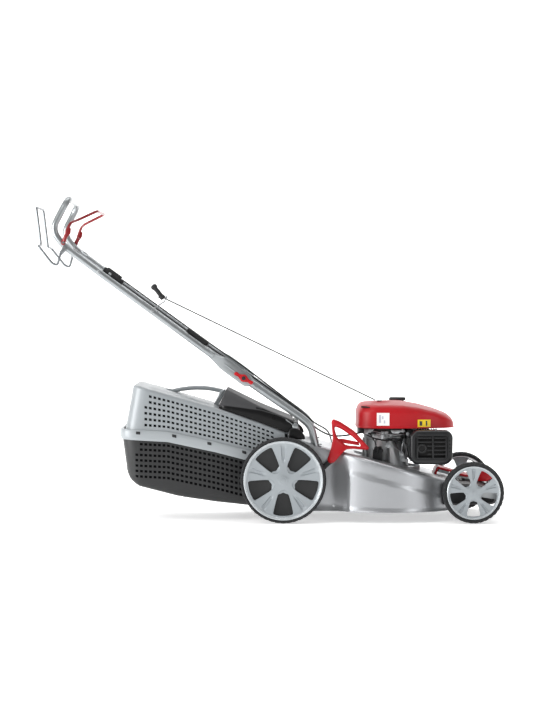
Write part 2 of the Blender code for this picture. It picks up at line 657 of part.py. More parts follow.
# ---- upper handle: one bent tube with two flattened ends -----------------------------------
RAIL_LOW = (-0.190, 0.5475)
half_path = [
    (RAIL_LOW[0], -RAIL_Y, RAIL_LOW[1]), (-0.561, -RAIL_Y, 0.819), (-0.677, -RAIL_Y, 0.906),
    (-0.711, -RAIL_Y, 0.957), (GRIP[0], -RAIL_Y, GRIP[1]),
]
full_path = half_path + [(x, -y, z) for x, y, z in reversed(half_path)]
rail = tube(full_path, RAIL_RADIUS, 12, 0.040)
slope = Vector((FOLD_PIVOT[0] - RAIL_LOW[0], FOLD_PIVOT[1] - RAIL_LOW[1])).normalized()
across = Vector((-slope.y, slope.x))
pivot = Vector(FOLD_PIVOT)
for side in (-1, 1):
    ends = []
    for reach, width in ((0.030, 0.012), (0.022, 0.021), (-0.080, 0.021), (-0.150, 0.010)):
        ends.append((pivot + slope * reach, width))
    outline = [tuple(p + across * w) for p, w in ends]
    outline += [tuple(p - across * w) for p, w in reversed(ends)]
    rail = joined(rail, prism(outline, "Y", side * PLATE_Y,
                             side * (PLATE_Y + 0.0060)))
rail = less(rail, drum(0.0045, "Y", FOLD_PIVOT, -0.3, 0.3, 12))
for side in (-1, 1):
    rail = joined(
        rail,
        drum(0.0035, "Y", BRAKE_BAIL_PIVOT, side * 0.2000, side * 0.2180, 10),
        prism([(-0.672, 0.908), (-0.690, 0.876), (-0.680, 0.872), (-0.660, 0.892)],
              "Y", side * 0.1960, side * 0.2100),
        drum(0.0030, "Y", DRIVE_BAIL_PIVOT, side * 0.2050, side * 0.2200, 10),
    )
node("upper_handle", rail, TUBE_STEEL, "handle_fold")

for label, side in (("right", -1), ("left", 1)):
    knob = []
    for reach, width in ((0.0325, 0.007), (0.012, 0.006), (0.008, 0.010), (-0.008, 0.010),
                         (-0.012, 0.006), (-0.0325, 0.007)):
        knob.append((pivot + slope * reach, width))
    outline = [tuple(p + across * w) for p, w in knob]
    outline += [tuple(p - across * w) for p, w in reversed(knob)]
    wing = less(prism(outline, "Y", side * (PLATE_Y + 0.0065), side * (PLATE_Y + 0.0190)),
                drum(0.0045, "Y", FOLD_PIVOT, side * 0.1, side * 0.3, 12))
    node("clamp_wing_" + label, wing, RED_PLASTIC, "handle_fold")

# ---- what rides on the upper handle ---------------------------------------------------------
RAIL_TOP = Vector((-0.561, 0.819))
rail_run = (Vector(RAIL_LOW) - RAIL_TOP).normalized()


def rail_block(x0, x1, above, below):
    """An outline beside the straight rail between two x positions."""
    points = []
    for x, offset in ((x0, above), (x1, above), (x1, -below), (x0, -below)):
        base = RAIL_TOP + rail_run * ((x - RAIL_TOP.x) / rail_run.x)
        points.append((base.x - rail_run.y * offset, base.y + rail_run.x * offset))
    return points


INNER_FACE = -RAIL_Y + RAIL_RADIUS + GAP
node("cable_clip", prism(rail_block(-0.540, -0.492, 0.012, 0.010), "Y", INNER_FACE,
                           -CABLE_Y - CABLE_RADIUS - 0.0032),
     BLACK_PLASTIC, "handle_fold")
node("cable_block", prism(rail_block(-0.270, -0.210, 0.014, 0.011), "Y", INNER_FACE,
                            -CABLE_Y - CABLE_RADIUS - 0.0007),
     BLACK_PLASTIC, "handle_fold")
guide = tube([(-0.3845, -0.1850, 0.6930), (-0.3800, -0.1740, 0.7000), (-0.3450, -0.1680, 0.7220),
              (-0.3410, -0.1700, 0.7370), (-0.3380, -0.1800, 0.7390), (-0.3400, -0.1870, 0.7280)],
             0.0022, 8, 0.006)
node("rope_guide", guide, BARE_STEEL, "handle_fold")

frame("brake_bail_axis", (BRAKE_BAIL_PIVOT[0], 0, BRAKE_BAIL_PIVOT[1]), "handle_fold")
bail_half = [
    (-0.6735, -0.2145, 0.9136), (-0.6590, -0.2145, 0.9610), (-0.6500, -0.2060, 0.9790),
    (-0.6330, -0.1640, 0.9880), (-0.5680, -0.1500, 1.0190),
]
bail = tube(bail_half + [(x, -y, z) for x, y, z in reversed(bail_half)], BRAKE_BAIL_RADIUS, 10, 0.02)
for side in (-1, 1):
    plate = [(-0.682, 0.906), (-0.666, 0.906), (-0.650, 0.958), (-0.664, 0.962)]
    bail = joined(bail, prism(plate, "Y", side * 0.2105, side * 0.2165))
bail = less(bail, drum(0.0042, "Y", BRAKE_BAIL_PIVOT, -0.3, 0.3, 12))
node("brake_bail", bail, RED_STEEL, "brake_bail_axis")

frame("drive_bail_axis", (DRIVE_BAIL_PIVOT[0], 0, DRIVE_BAIL_PIVOT[1]), "handle_fold")
wire_half = [
    (-0.6810, -0.2145, 0.8840), (-0.6930, -0.2145, 0.8400), (-0.7100, -0.2145, 0.8460),
    (-0.7550, -0.2145, 0.9035), (-0.7570, -0.1100, 0.9075),
    (DRIVE_BAIL_TOP[0], -0.1100, DRIVE_BAIL_TOP[1]),
]
wire = tube(wire_half + [(x, -y, z) for x, y, z in reversed(wire_half)], DRIVE_BAIL_RADIUS, 8, 0.012)
for side in (-1, 1):
    wire = joined(wire, drum(0.0060, "Y", DRIVE_BAIL_PIVOT, side * 0.2115, side * 0.2180, 12))
wire = less(wire, drum(0.0037, "Y", DRIVE_BAIL_PIVOT, -0.3, 0.3, 12))
node("drive_bail", wire, BARE_STEEL, "drive_bail_axis")

# ---- starter rope and grip ------------------------------------------------------------------
ROPE_OUT = Vector((0.3680, -0.0600, 0.3850))
ROPE_END = Vector((-0.3530, -0.1795, 0.7360))
pull = (ROPE_END - ROPE_OUT).normalized()
frame("starter_pull", ROPE_END, "handle_fold")
node("starter_rope", tube([ROPE_OUT + pull * 0.022, ROPE_END - pull * 0.001], 0.0018, 8), CORD)
lean = Vector((-0.62, 0.0, 0.78)).normalized()
grip_top = ROPE_END + lean * 0.040
cross = Vector((lean.z, 0, -lean.x))
grip = joined(
    tube([ROPE_END + pull * 0.002, ROPE_END + lean * 0.008], 0.0100, 12),
    tube([ROPE_END + lean * 0.004, grip_top], 0.0065, 10),
    tube([grip_top - cross * 0.012 + lean * 0.002, grip_top + cross * 0.012 + lean * 0.002],
         0.0075, 10),
)
node("starter_grip", grip, BLACK_PLASTIC, "starter_pull")

# ---- control cables -------------------------------------------------------------------------
upper_run = [(-0.640, 0.890), (-0.561, 0.8345), (-0.200, 0.5725), (-0.086, 0.4950)]
brake_run = upper_run + [(0.020, 0.4200), (0.098, 0.3670), (0.147, 0.2990), (0.190, 0.2760)]
brake = [(x, -CABLE_Y, z) for x, z in brake_run]
brake += [(0.240, -0.1300, 0.2790), (0.2950, -0.1000, 0.2900), (0.3140, -0.0800, 0.2880)]
node("brake_cable", tube(brake, CABLE_RADIUS, 8, 0.03), CORD)
drive_run = upper_run + [(0.0300, 0.4060), (0.0980, 0.3540), (0.1500, 0.3060), (0.1980, 0.2800)]
drive = [(x, CABLE_Y, z) for x, z in drive_run]
drive += [(0.2080, 0.1250, 0.2500), (0.2080, 0.1150, 0.2420)]
node("drive_cable", tube(drive, CABLE_RADIUS - GAP, 8, 0.02), CORD)

# ---- rear flap with its rod and spring ------------------------------------------------------
FLAP_TOP = [(-0.171, 0.3800), (-0.146, 0.4310), (-0.030, 0.3760), (0.020, 0.3530),
            (0.066, 0.3340), (0.088, 0.3235)]
BOX_TOP = [(-0.445, 0.4485), (-0.170, 0.3690), (-0.0326, 0.3220), (0.0544, 0.2880)]
flap_low = [(x, z + 0.0020) for x, z in BOX_TOP[1:]] + [(0.0740, 0.3020)]
flap = prism(FLAP_TOP + flap_low[::-1], "Y", -FLAP_HALF, FLAP_HALF)
flap_hollow = [(x, z - FLAP_WALL * 1.3) for x, z in FLAP_TOP[1:]]
flap_hollow[0] = (-0.143, 0.4250)
flap_hollow = [(-0.166, 0.3790)] + flap_hollow[:-1] + [(0.060, 0.2800), (-0.166, 0.3600)]
flap = less(flap, prism(flap_hollow, "Y", -FLAP_HALF + FLAP_WALL, FLAP_HALF - FLAP_WALL))
flap = joined(flap, drum(0.0115, "Y", FLAP_HINGE, -FLAP_HALF, FLAP_HALF, 16))
flap = less(flap, drum(0.0052, "Y", FLAP_HINGE, -0.3, 0.3, 12))
node("rear_flap", flap, BLACK_PLASTIC, origin=(FLAP_HINGE[0], 0, FLAP_HINGE[1]))
rod = joined(
    drum(0.0045, "Y", FLAP_HINGE, -0.1830, 0.1830, 12),
    drum(0.0080, "Y", FLAP_HINGE, -0.1850, -0.1815, 12),
)
node("flap_hinge_rod", rod, BARE_STEEL)
COIL_Y = FLAP_HALF + 0.0050
coil = [(0.0056, -COIL_Y - 0.0195), (0.0056, -COIL_Y)]
for i in range(6):
    coil += [(0.0090, -COIL_Y - i * 0.0034), (0.0075, -COIL_Y - i * 0.0034 - 0.0017)]
node("flap_spring", lathe(coil, "Y", FLAP_HINGE, 12), BARE_STEEL)

# ---- grass box: grey upper shell with a flange, black lower shell, carry arch --------------
SEAM = [(BOX_TAIL_X - 0.009, 0.3035), (-0.3358, 0.2940), (-0.1790, 0.2596), (-0.0726, 0.2315),
        (0.0300, 0.2010)]
BAND = 0.0330


def box_plan(grow):
    rear, front = BOX_HALF_REAR + grow, BOX_HALF_FRONT + grow
    edge = [(0.048, -front), (-0.020, -front), (-0.410, -rear), (-0.452, -rear + 0.012),
            (-0.474, -rear + 0.034), (-0.486 - grow, -rear + 0.070)]
    return edge + [(x, -y) for x, y in reversed(edge)]


upper_side = [(-0.4850, 0.2900), (-0.4790, 0.3300), (-0.4590, 0.4280), (-0.4450, 0.4450)]
upper_side += BOX_TOP[1:] + [(0.0544, 0.1800)]
upper_side[4] = (BOX_TOP[1][0], BOX_TOP[1][1])
seam_low = [(x, z - BAND) for x, z in SEAM]
above_seam = [(-0.6, SEAM[0][1] - BAND)] + seam_low + [(0.2, 0.1500), (0.2, 0.6), (-0.6, 0.6)]
upper = common(
    prism(upper_side, "Y", -0.3, 0.3), prism(box_plan(0), "Z", 0, 0.6),
    prism(above_seam, "Y", -0.3, 0.3),
)
band_side = SEAM + [(SEAM[-1][0], SEAM[-1][1] - BAND)] + seam_low[::-1]
band = common(prism(band_side, "Y", -0.3, 0.3), prism(box_plan(0.006), "Z", 0, 0.6))
upper = joined(upper, band)
hollow_side = inset(upper_side, BOX_WALL)
hollow_side[-1] = (0.0900, 0.1000)
hollow_side[-2] = (0.0900, hollow_side[-3][1] - 0.040)
hollow_side[0] = (-0.4810, 0.1000)
inner_plan = [(x if x < 0.03 else 0.120, y) for x, y in inset(box_plan(0), BOX_WALL)]
upper = less(upper, common(prism(hollow_side, "Y", -0.3, 0.3), prism(inner_plan, "Z", 0, 0.6)))
node("box_upper_shell", upper, GREY_PLASTIC, "grass_box")

lower_side = [(-0.4840, 0.2700 - GAP), (-0.4640, 0.1440), (-0.4300, 0.1156), (-0.3040, 0.0810),
              (-0.1790, 0.0620), (-0.0730, 0.0500), (-0.0180, 0.0480), (-0.0140, 0.1860)]
below_seam = [(x, z - GAP) for x, z in seam_low]
below_seam = [(-0.6, below_seam[0][1])] + below_seam + [(0.2, 0.148), (0.2, 0.0), (-0.6, 0.0)]
lower_side[0] = (-0.4870, 0.3)
lower_side[-1] = (-0.0140, 0.3)
lower = common(
    prism(lower_side, "Y", -0.3, 0.3), prism(box_plan(-0.001), "Z", 0, 0.6),
    prism(below_seam, "Y", -0.3, 0.3),
)
lower_inner = inset(lower_side, BOX_WALL)
lower_inner[0] = (lower_inner[0][0], 0.4)
lower_inner[-1] = (lower_inner[-1][0], 0.4)
lower = less(
    lower,
    common(prism(lower_inner, "Y", -0.3, 0.3), prism(inset(box_plan(-0.001), BOX_WALL), "Z", 0, 0.6)),
    block(-0.03, 0.05, -0.13, 0.13, 0.165, 0.4),
)
node("box_lower_shell", lower, BLACK_PLASTIC, "grass_box")

ARCH = [(-0.350, 0.4235), (-0.310, 0.4330), (-0.260, 0.4390), (-0.210, 0.4370), (-0.170, 0.4280),
        (-0.158, 0.4210), (-0.1760, 0.3715)]
arch_under = [(-0.310, 0.4120), (-0.300, 0.4230), (-0.260, 0.4270), (-0.215, 0.4255),
              (-0.185, 0.4200), (-0.1800, 0.4120), (-0.1960, 0.3775)]
arch = prism(ARCH + arch_under[::-1], "Y", -0.016, 0.016)
node("box_handle", arch, GREY_PLASTIC, "grass_box")
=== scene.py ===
"""Petrol walk-behind lawn mower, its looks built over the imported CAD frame.

Lengths are metres, +X is forward, +Y the mower's left, +Z up. Outlines are drawn in the same
frame as the CAD source's, and shape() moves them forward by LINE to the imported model's frame.
"""
import math

import bmesh
import bpy
import numpy as np
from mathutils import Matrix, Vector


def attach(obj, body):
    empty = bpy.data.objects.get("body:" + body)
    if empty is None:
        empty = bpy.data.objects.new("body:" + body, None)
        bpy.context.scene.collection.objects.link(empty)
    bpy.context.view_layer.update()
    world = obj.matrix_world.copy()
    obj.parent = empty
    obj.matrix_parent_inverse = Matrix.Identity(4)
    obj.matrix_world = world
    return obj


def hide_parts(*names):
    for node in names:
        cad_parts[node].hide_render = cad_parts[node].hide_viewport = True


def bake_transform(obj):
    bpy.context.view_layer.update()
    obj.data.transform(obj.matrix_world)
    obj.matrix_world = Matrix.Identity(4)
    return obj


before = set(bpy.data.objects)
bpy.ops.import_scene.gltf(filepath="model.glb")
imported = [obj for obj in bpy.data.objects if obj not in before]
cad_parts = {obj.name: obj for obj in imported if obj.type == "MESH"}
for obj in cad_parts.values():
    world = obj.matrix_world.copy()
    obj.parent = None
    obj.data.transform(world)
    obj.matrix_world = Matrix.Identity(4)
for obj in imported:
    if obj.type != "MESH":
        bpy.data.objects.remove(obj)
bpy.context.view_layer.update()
LINE = 0.00675

# ==== Studio: floor, lights and camera ========================================================
# A pale seamless sweep under soft lamps; the camera stands level with the grips on the mower's
# right, far off, with a long lens.


def linear(hex_colour):
    """An sRGB hex colour as linear RGBA: c / 12.92 below 0.04045, else ((c + 0.055) / 1.055)^2.4."""
    parts = [int(hex_colour[i:i + 2], 16) / 255 for i in (0, 2, 4)]
    return tuple(c / 12.92 if c < 0.04045 else ((c + 0.055) / 1.055) ** 2.4 for c in parts) + (1,)


def add(tree, kind, settings=(), links=()):
    """A shader node of that kind with its settings and, by input, the sockets that feed it."""
    made = tree.nodes.new("ShaderNode" + kind)
    for key, value in dict(settings).items():
        if isinstance(key, str) and hasattr(made, key):
            setattr(made, key, value)
        else:
            made.inputs[key].default_value = value
    for key, socket in dict(links).items():
        tree.links.new(socket, made.inputs[key])
    return made


def finish_of(name, colour, roughness, metallic=0.0, grain_mm=1.0, bump=0.15, mottle=0.10,
              coat=0.0, coat_roughness=0.1, specular=0.5):
    """A Principled material with broad mottling, fine grain in its relief and uneven gloss."""
    made = bpy.data.materials.new(name)
    made.use_nodes = True
    tree = made.node_tree
    shader = tree.nodes["Principled BSDF"]
    place = add(tree, "TexCoord").outputs["Object"]
    broad = add(tree, "TexNoise", {"Scale": 14.0, "Detail": 4.0}, {"Vector": place})
    fine = add(tree, "TexNoise", {"Scale": 1000 / grain_mm, "Detail": 2.0}, {"Vector": place})
    base = linear(colour)
    dark = tuple(c * (1 - mottle) for c in base[:3]) + (1,)
    light = tuple(min(c * (1 + mottle), 1) for c in base[:3]) + (1,)
    tint = add(tree, "Mix", {"data_type": "RGBA", 6: dark, 7: light}, {0: broad.outputs[0]})
    gloss = add(tree, "MapRange", {"To Min": roughness * 0.88, "To Max": min(roughness * 1.14, 1)},
                {"Value": broad.outputs[0]})
    relief = add(tree, "Bump", {"Strength": bump, "Distance": 0.0002}, {"Height": fine.outputs[0]})
    tree.links.new(tint.outputs[2], shader.inputs["Base Color"])
    tree.links.new(gloss.outputs[0], shader.inputs["Roughness"])
    tree.links.new(relief.outputs[0], shader.inputs["Normal"])
    shader.inputs["Metallic"].default_value = metallic
    shader.inputs["Coat Weight"].default_value = coat
    shader.inputs["Coat Roughness"].default_value = coat_roughness
    shader.inputs["Specular IOR Level"].default_value = specular
    return made


def paint_over(material, mask, colour, roughness=None):
    """Lays another colour, and gloss, over a material where the mask socket is 1."""
    tree = material.node_tree
    shader = tree.nodes["Principled BSDF"]
    under = shader.inputs["Base Color"].links[0].from_socket
    over = add(tree, "Mix", {"data_type": "RGBA", 7: linear(colour)}, {0: mask, 6: under})
    tree.links.new(over.outputs[2], shader.inputs["Base Color"])
    if roughness is not None:
        below = shader.inputs["Roughness"].links[0].from_socket
        mixed = add(tree, "Mix", {3: roughness}, {0: mask, 2: below})
        tree.links.new(mixed.outputs[0], shader.inputs["Roughness"])


def math_node(tree, operation, first, second=0.0):
    """One arithmetic step on sockets or numbers."""
    step = add(tree, "Math", {"operation": operation})
    for slot, value in ((0, first), (1, second)):
        if isinstance(value, (int, float)):
            step.inputs[slot].default_value = value
        else:
            tree.links.new(value, step.inputs[slot])
    return step.outputs[0]


sweep = bpy.data.meshes.new("studio_sweep")
turn = [(math.radians(a), 2.5) for a in range(0, 91, 6)]
profile = [(-14.0, -0.001)] + [(4.5 + r * math.sin(a), r - r * math.cos(a) - 0.001) for a, r in turn]
profile += [(7.0, 9.0)]
rows = [[(x, y, z) for x in (-14.0, 14.0)] for y, z in profile]
sweep.from_pydata([p for row in rows for p in row], [],
                  [(2 * i, 2 * i + 1, 2 * i + 3, 2 * i + 2) for i in range(len(rows) - 1)])
sweep.shade_smooth()
floor = bpy.data.objects.new("studio_sweep", sweep)
bpy.context.scene.collection.objects.link(floor)
# Matt white paper; it throws light up under the mower.
sweep.materials.append(finish_of("studio_paper", "fbfbfb", 0.9, bump=0.02, mottle=0.005,
                                 specular=0.1))
paper = sweep.materials[0].node_tree.nodes["Principled BSDF"]
paper.inputs["Emission Color"].default_value = (1, 1, 1, 1)
paper.inputs["Emission Strength"].default_value = 0.46

world = bpy.data.worlds.new("studio_world")
bpy.context.scene.world = world
world.use_nodes = True
sky = world.node_tree
facing = add(sky, "SeparateXYZ", {}, {0: add(sky, "TexCoord").outputs["Generated"]})
height = add(sky, "MapRange", {"From Min": -0.05, "From Max": 0.75, "To Min": 0.14, "To Max": 0.50},
             {"Value": facing.outputs["Z"]})
sky.links.new(height.outputs[0], sky.nodes["Background"].inputs["Strength"])
sky.nodes["Background"].inputs["Color"].default_value = (1, 1, 1, 1)

for name, place, aim, size, power in (
    ("key_softbox", (-2.6, -4.2, 4.2), (0.0, 0.0, 0.3), (2.4, 1.6), 66),
    ("side_softbox", (3.4, -3.6, 1.6), (0.3, 0.0, 0.2), (0.6, 2.6), 36),
    ("top_softbox", (0.3, 0.6, 4.6), (0.1, 0.0, 0.3), (3.0, 2.4), 36),
    ("left_softbox", (-3.6, -1.7, 0.9), (0.0, 0.0, 0.3), (2.4, 1.6), 130),
    ("sweep_wash", (0.0, 1.6, 5.0), (0.0, 6.5, 1.6), (7.0, 1.0), 250),
):
    lamp = bpy.data.lights.new(name, "AREA")
    lamp.shape = "RECTANGLE"
    lamp.size, lamp.size_y = size
    lamp.energy = power
    holder = bpy.data.objects.new(name, lamp)
    bpy.context.scene.collection.objects.link(holder)
    holder.location = place
    toward = Vector(aim) - Vector(place)
    holder.rotation_euler = toward.to_track_quat("-Z", "Y").to_euler()

camera = bpy.data.objects.new("camera", bpy.data.cameras.new("camera"))
bpy.context.scene.collection.objects.link(camera)
bpy.context.scene.camera = camera
camera.location = (0.0298, -7.45, 0.73)
camera.data.lens = 110.9
camera.rotation_euler = Vector((-0.00316, 1, -0.02751)).to_track_quat("-Z", "Y").to_euler()
bpy.context.scene.view_settings.view_transform = "Standard"

# ==== Deck ====================================================================================
# One pressing in thin steel sheet, round over the blade and narrowed to a channel between the
# rear wheels, its skirt rolled at the edge; silver metallic paint. The engine bolts to its bed.


def rounded(corners, radius, steps=6, closed=True):
    """The polyline with each corner c cut back by reach r and bent along the curve
    (1-t)^2 a + 2t(1-t) c + t^2 b, where a and b lie r before and after c."""
    corners = [np.array(c, float) for c in corners]
    count = len(corners)
    radii = radius if isinstance(radius, (list, tuple)) else [radius] * count
    out = []
    for i, here in enumerate(corners):
        if not closed and i in (0, count - 1):
            out.append(here)
            continue
        before, after = corners[i - 1], corners[(i + 1) % count]
        reach = min(radii[i], np.linalg.norm(before - here) * 0.48,
                    np.linalg.norm(after - here) * 0.48)
        a = here + (before - here) / np.linalg.norm(before - here) * reach
        b = here + (after - here) / np.linalg.norm(after - here) * reach
        for t in np.linspace(0, 1, steps + 1):
            out.append((1 - t) ** 2 * a + 2 * t * (1 - t) * here + t ** 2 * b)
    return np.array(out)


def resampled(line, count, closed=True):
    """The line's points spaced evenly by arc length."""
    line = np.asarray(line, float)
    if closed:
        line = np.vstack([line, line[:1]])
    run = np.concatenate([[0], np.cumsum(np.linalg.norm(np.diff(line, axis=0), axis=1))])
    at = np.linspace(0, run[-1], count + 1)[:-1] if closed else np.linspace(0, run[-1], count)
    return np.stack([np.interp(at, run, line[:, k]) for k in range(line.shape[1])], axis=1)


def unit(vectors):
    """Each vector scaled to length 1."""
    return vectors / np.maximum(np.linalg.norm(vectors, axis=-1, keepdims=True), 1e-9)


def offset(outline, amount):
    """The closed 2-D outline moved inward along its corner normals."""
    ahead = unit(np.roll(outline, -1, axis=0) - outline)
    area = np.sum(outline[:, 0] * np.roll(outline[:, 1], -1)
                  - np.roll(outline[:, 0], -1) * outline[:, 1])
    normal = np.stack([-ahead[:, 1], ahead[:, 0]], axis=1) * np.sign(area)
    middle = unit(normal + np.roll(normal, 1, axis=0))
    reach = amount / np.maximum(np.sum(middle * normal, axis=1), 0.5)
    return outline + middle * reach[:, None]


def lofted(rows, around=True, ends="fan", ring=False):
    """Points P(i, j) joined to their neighbours: j closes on itself if around, i if ring, and
    ends closes the first and last rows with a fan, one flat face, or not at all."""
    rows = np.asarray(rows, float)
    n, m = rows.shape[:2]
    points = rows.reshape(-1, 3)
    last_i, last_j = (n if ring else n - 1), (m if around else m - 1)
    i, j = np.meshgrid(np.arange(last_i), np.arange(last_j), indexing="ij")
    a, b = (i * m + j).ravel(), (i * m + (j + 1) % m).ravel()
    c, d = ((i + 1) % n * m + (j + 1) % m).ravel(), ((i + 1) % n * m + j).ravel()
    faces = np.stack([a, b, c, d], axis=1).tolist()
    if ends == "flat" and not ring:
        faces += [list(range(m)), list(range((n - 1) * m, n * m))]
    if ends == "fan" and not ring:
        for row in (0, n - 1):
            points = np.vstack([points, rows[row].mean(axis=0)])
            for k in range(last_j):
                faces.append([row * m + k, row * m + (k + 1) % m, len(points) - 1])
    return points, faces


def shape(name, parts, material, body, replaces=(), sharp=38, uv=None, weld=0):
    """One mesh piece from (points, faces) parts, its faces turned outward, riding on a body."""
    points, faces = [], []
    for part_points, part_faces in parts:
        faces += [[k + len(points) for k in face] for face in part_faces]
        points += [tuple(p) for p in part_points]
    co = np.array(points, np.float32)
    co[:, 0] += LINE
    data = bpy.data.meshes.new(name)
    data.from_pydata([(0, 0, 0)] * len(points), [], faces)
    data.vertices.foreach_set("co", co.ravel())
    work = bmesh.new()
    work.from_mesh(data)
    if weld:
        bmesh.ops.remove_doubles(work, verts=work.verts, dist=weld)
    bmesh.ops.recalc_face_normals(work, faces=work.faces)
    work.to_mesh(data)
    work.free()
    if uv is not None:
        layer = data.uv_layers.new(name="panel")
        corner = np.empty(len(data.loops), np.int32)
        data.loops.foreach_get("vertex_index", corner)
        layer.data.foreach_set("uv", np.asarray(uv, np.float32)[corner].ravel())
    data.shade_smooth()
    data.set_sharp_from_angle(angle=math.radians(sharp))
    data.materials.append(material)
    obj = bpy.data.objects.new(name, data)
    bpy.context.scene.collection.objects.link(obj)
    if body:
        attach(obj, body)
    if replaces:
        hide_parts(*replaces)
    return obj


def lift(flat, axis, at):
    """2-D points set on the plane across an axis at a position."""
    flat = np.asarray(flat, float)
    t = np.full(len(flat), float(at))
    u, v = flat[:, 0], flat[:, 1]
    return np.stack({"X": (t, u, v), "Y": (u, t, v), "Z": (u, v, t)}[axis], axis=1)


def slab(outline, axis, start, end, edge=0.001, steps=4):
    """The outline pushed along an axis, both rims rounded: inset e(1-sin a), depth e(1-cos a)."""
    sign = 1 if end > start else -1
    rows = []
    for a in np.linspace(0, math.pi / 2, steps):
        rows.append(lift(offset(outline, edge * (1 - math.sin(a))), axis,
                         start + sign * edge * (1 - math.cos(a))))
    for a in np.linspace(math.pi / 2, 0, steps):
        rows.append(lift(offset(outline, edge * (1 - math.sin(a))), axis,
                         end - sign * edge * (1 - math.cos(a))))
    return lofted(rows, ends="flat")


def turned(profile, axis, centre, start=0.0, sides=64, ring=False):
    """The (radius, position) profile turned about an axis through a 2-D centre."""
    angles = start + np.linspace(0, 2 * math.pi, sides, endpoint=False)
    rows = [lift(np.stack([centre[0] + r * np.cos(angles), centre[1] + r * np.sin(angles)], 1),
                 axis, t) for r, t in profile]
    return lofted(rows, ends="fan", ring=ring)


def smoothstep(low, high, x):
    """3t^2 - 2t^3 with t running 0 to 1 from low to high."""
    t = np.clip((np.asarray(x, float) - low) / (high - low), 0, 1)
    return t * t * (3 - 2 * t)


DECK_AXIS = 0.386
SHEET = 0.0018
SKIRT_FOOT = 0.034
BED_RADIUS = 0.118
DECK_TOP = np.array([(0.060, 0.272), (0.090, 0.272), (0.154, 0.251), (0.260, 0.2235),
                     (0.420, 0.180), (0.520, 0.153), (0.580, 0.138), (0.640, 0.126)])


def height_on(line, x):
    """The height at x of an (x, z) line, straight between its points."""
    return np.interp(x, line[:, 0], line[:, 1])


def deck_height(x):
    """The deck's top edge: a rounded slope from the channel down to the nose."""
    return sum(height_on(DECK_TOP, np.asarray(x) + d) for d in (-0.014, -0.007, 0, 0.007, 0.014)) / 5


arc = np.radians(np.linspace(-121.5, 121.5, 82))
plan = [(0.060, -0.185), (0.205, -0.185), (0.236, -0.200)]
plan += list(zip(DECK_AXIS + 0.25 * np.cos(arc), 0.25 * np.sin(arc)))
plan += [(0.236, 0.200), (0.205, 0.185), (0.060, 0.185)]
plan = resampled(rounded(plan, 0.03, 5, closed=False), 300, closed=False)
heading = unit(np.gradient(plan, axis=0))
outward = np.stack([heading[:, 1], -heading[:, 0]], axis=1)
panel = smoothstep(0.252, 0.262, plan[:, 0]) * smoothstep(0.05, 0.12, np.abs(plan[:, 1]))
top = deck_height(plan[:, 0])


def deck_wall(fraction, push, height=None):
    """A row round the skirt: the plan pushed outward, at a share of the way up to the top edge."""
    z = SKIRT_FOOT + (top - SKIRT_FOOT) * fraction if height is None else height
    bulge = 0.0035 * panel * smoothstep(1.0, 0.0, (z - top + 0.062) / 0.008)
    flat = plan + outward * (push + bulge)[:, None]
    return np.column_stack([flat, z])


still = np.zeros(len(plan))
deck_rows = [deck_wall(0, still - 0.0035, still + 0.0365), deck_wall(0, still - 0.0030, still + 0.034)]
deck_rows += [deck_wall(0, still + 0.0020, still + 0.0338), deck_wall(0, still + 0.0025, still + 0.0352),
              deck_wall(0, still + 0.0020, still + 0.0368), deck_wall(0, still, still + 0.0400)]
deck_rows += [deck_wall(f, still) for f in (0.12, 0.25, 0.38, 0.46, 0.5, 0.54, 0.58, 0.62, 0.66,
                                            0.7, 0.75, 0.8, 0.86)]
EDGE = 0.012
for a in np.linspace(0, math.pi / 2, 7):
    deck_rows.append(deck_wall(0, still - EDGE * (1 - math.cos(a)), top - EDGE * (1 - math.sin(a))))
centre = np.array([DECK_AXIS, 0.0])
rim = plan - outward * EDGE
bearing = np.arctan2(rim[:, 1], rim[:, 0] - DECK_AXIS)
bed = np.stack([DECK_AXIS + BED_RADIUS * np.cos(bearing), BED_RADIUS * np.sin(bearing)], 1)
for t in np.linspace(0.06, 1, 14):
    flat = rim * (1 - t) + bed * t
    rib = 0.0022 * np.exp(-((t - 0.35) / 0.05) ** 2) * smoothstep(0.24, 0.30, flat[:, 0])
    deck_rows.append(np.column_stack([flat, deck_height(flat[:, 0]) + rib]))
for radius, z in ((0.1175, 0.172), (0.1165, 0.167), (0.112, 0.165), (0.06, 0.165), (0.02, 0.165)):
    flat = centre + (bed - centre) * radius / BED_RADIUS
    deck_rows.append(np.column_stack([flat, np.full(len(flat), z)]))
deck_rows = np.array(deck_rows)
share = np.linspace(0, 1, 9)[None, :, None]
bridge = deck_rows[-19:, :1] * (1 - share) + deck_rows[-19:, -1:] * share
bridge = np.concatenate([bridge, bridge[:, ::-1] - np.array([0, 0, SHEET])], axis=1)
under = deck_rows[::-1].copy()
under[:, :, :2] += unit(centre - under[:, :, :2]) * SHEET
under[:, :, 2] = np.maximum(under[:, :, 2] - SHEET, SKIRT_FOOT + 0.0005)
deck_parts = [lofted(np.concatenate([deck_rows, under]), around=False, ends="none", ring=True),
              lofted(bridge, ends="flat")]
for j in (0, len(plan) - 1):
    edge = np.concatenate([deck_rows, under])[:, j]
    half = len(deck_rows)
    strip = np.stack([edge[:half], edge[half:][::-1]], axis=1)
    deck_parts.append(lofted(strip, around=False, ends="none"))
for side in (-1, 1):
    lug = rounded([(0.064, 0.262), (0.106, 0.262), (0.100, 0.290), (0.083, 0.302), (0.069, 0.290)],
                  0.007)
    deck_parts.append(slab(lug, "Y", side * 0.1762, side * 0.1800, 0.0008))

# Silver metallic paint: fine flake under a clear coat, so edges and bulges catch soft bands.
SILVER_PAINT = finish_of("silver_deck_paint", "a6a8ab", 0.34, 0.75, 0.5, 0.10, 0.05, 0.10, 0.15)
shape("deck_shell", deck_parts, SILVER_PAINT, "chassis", ["deck"])

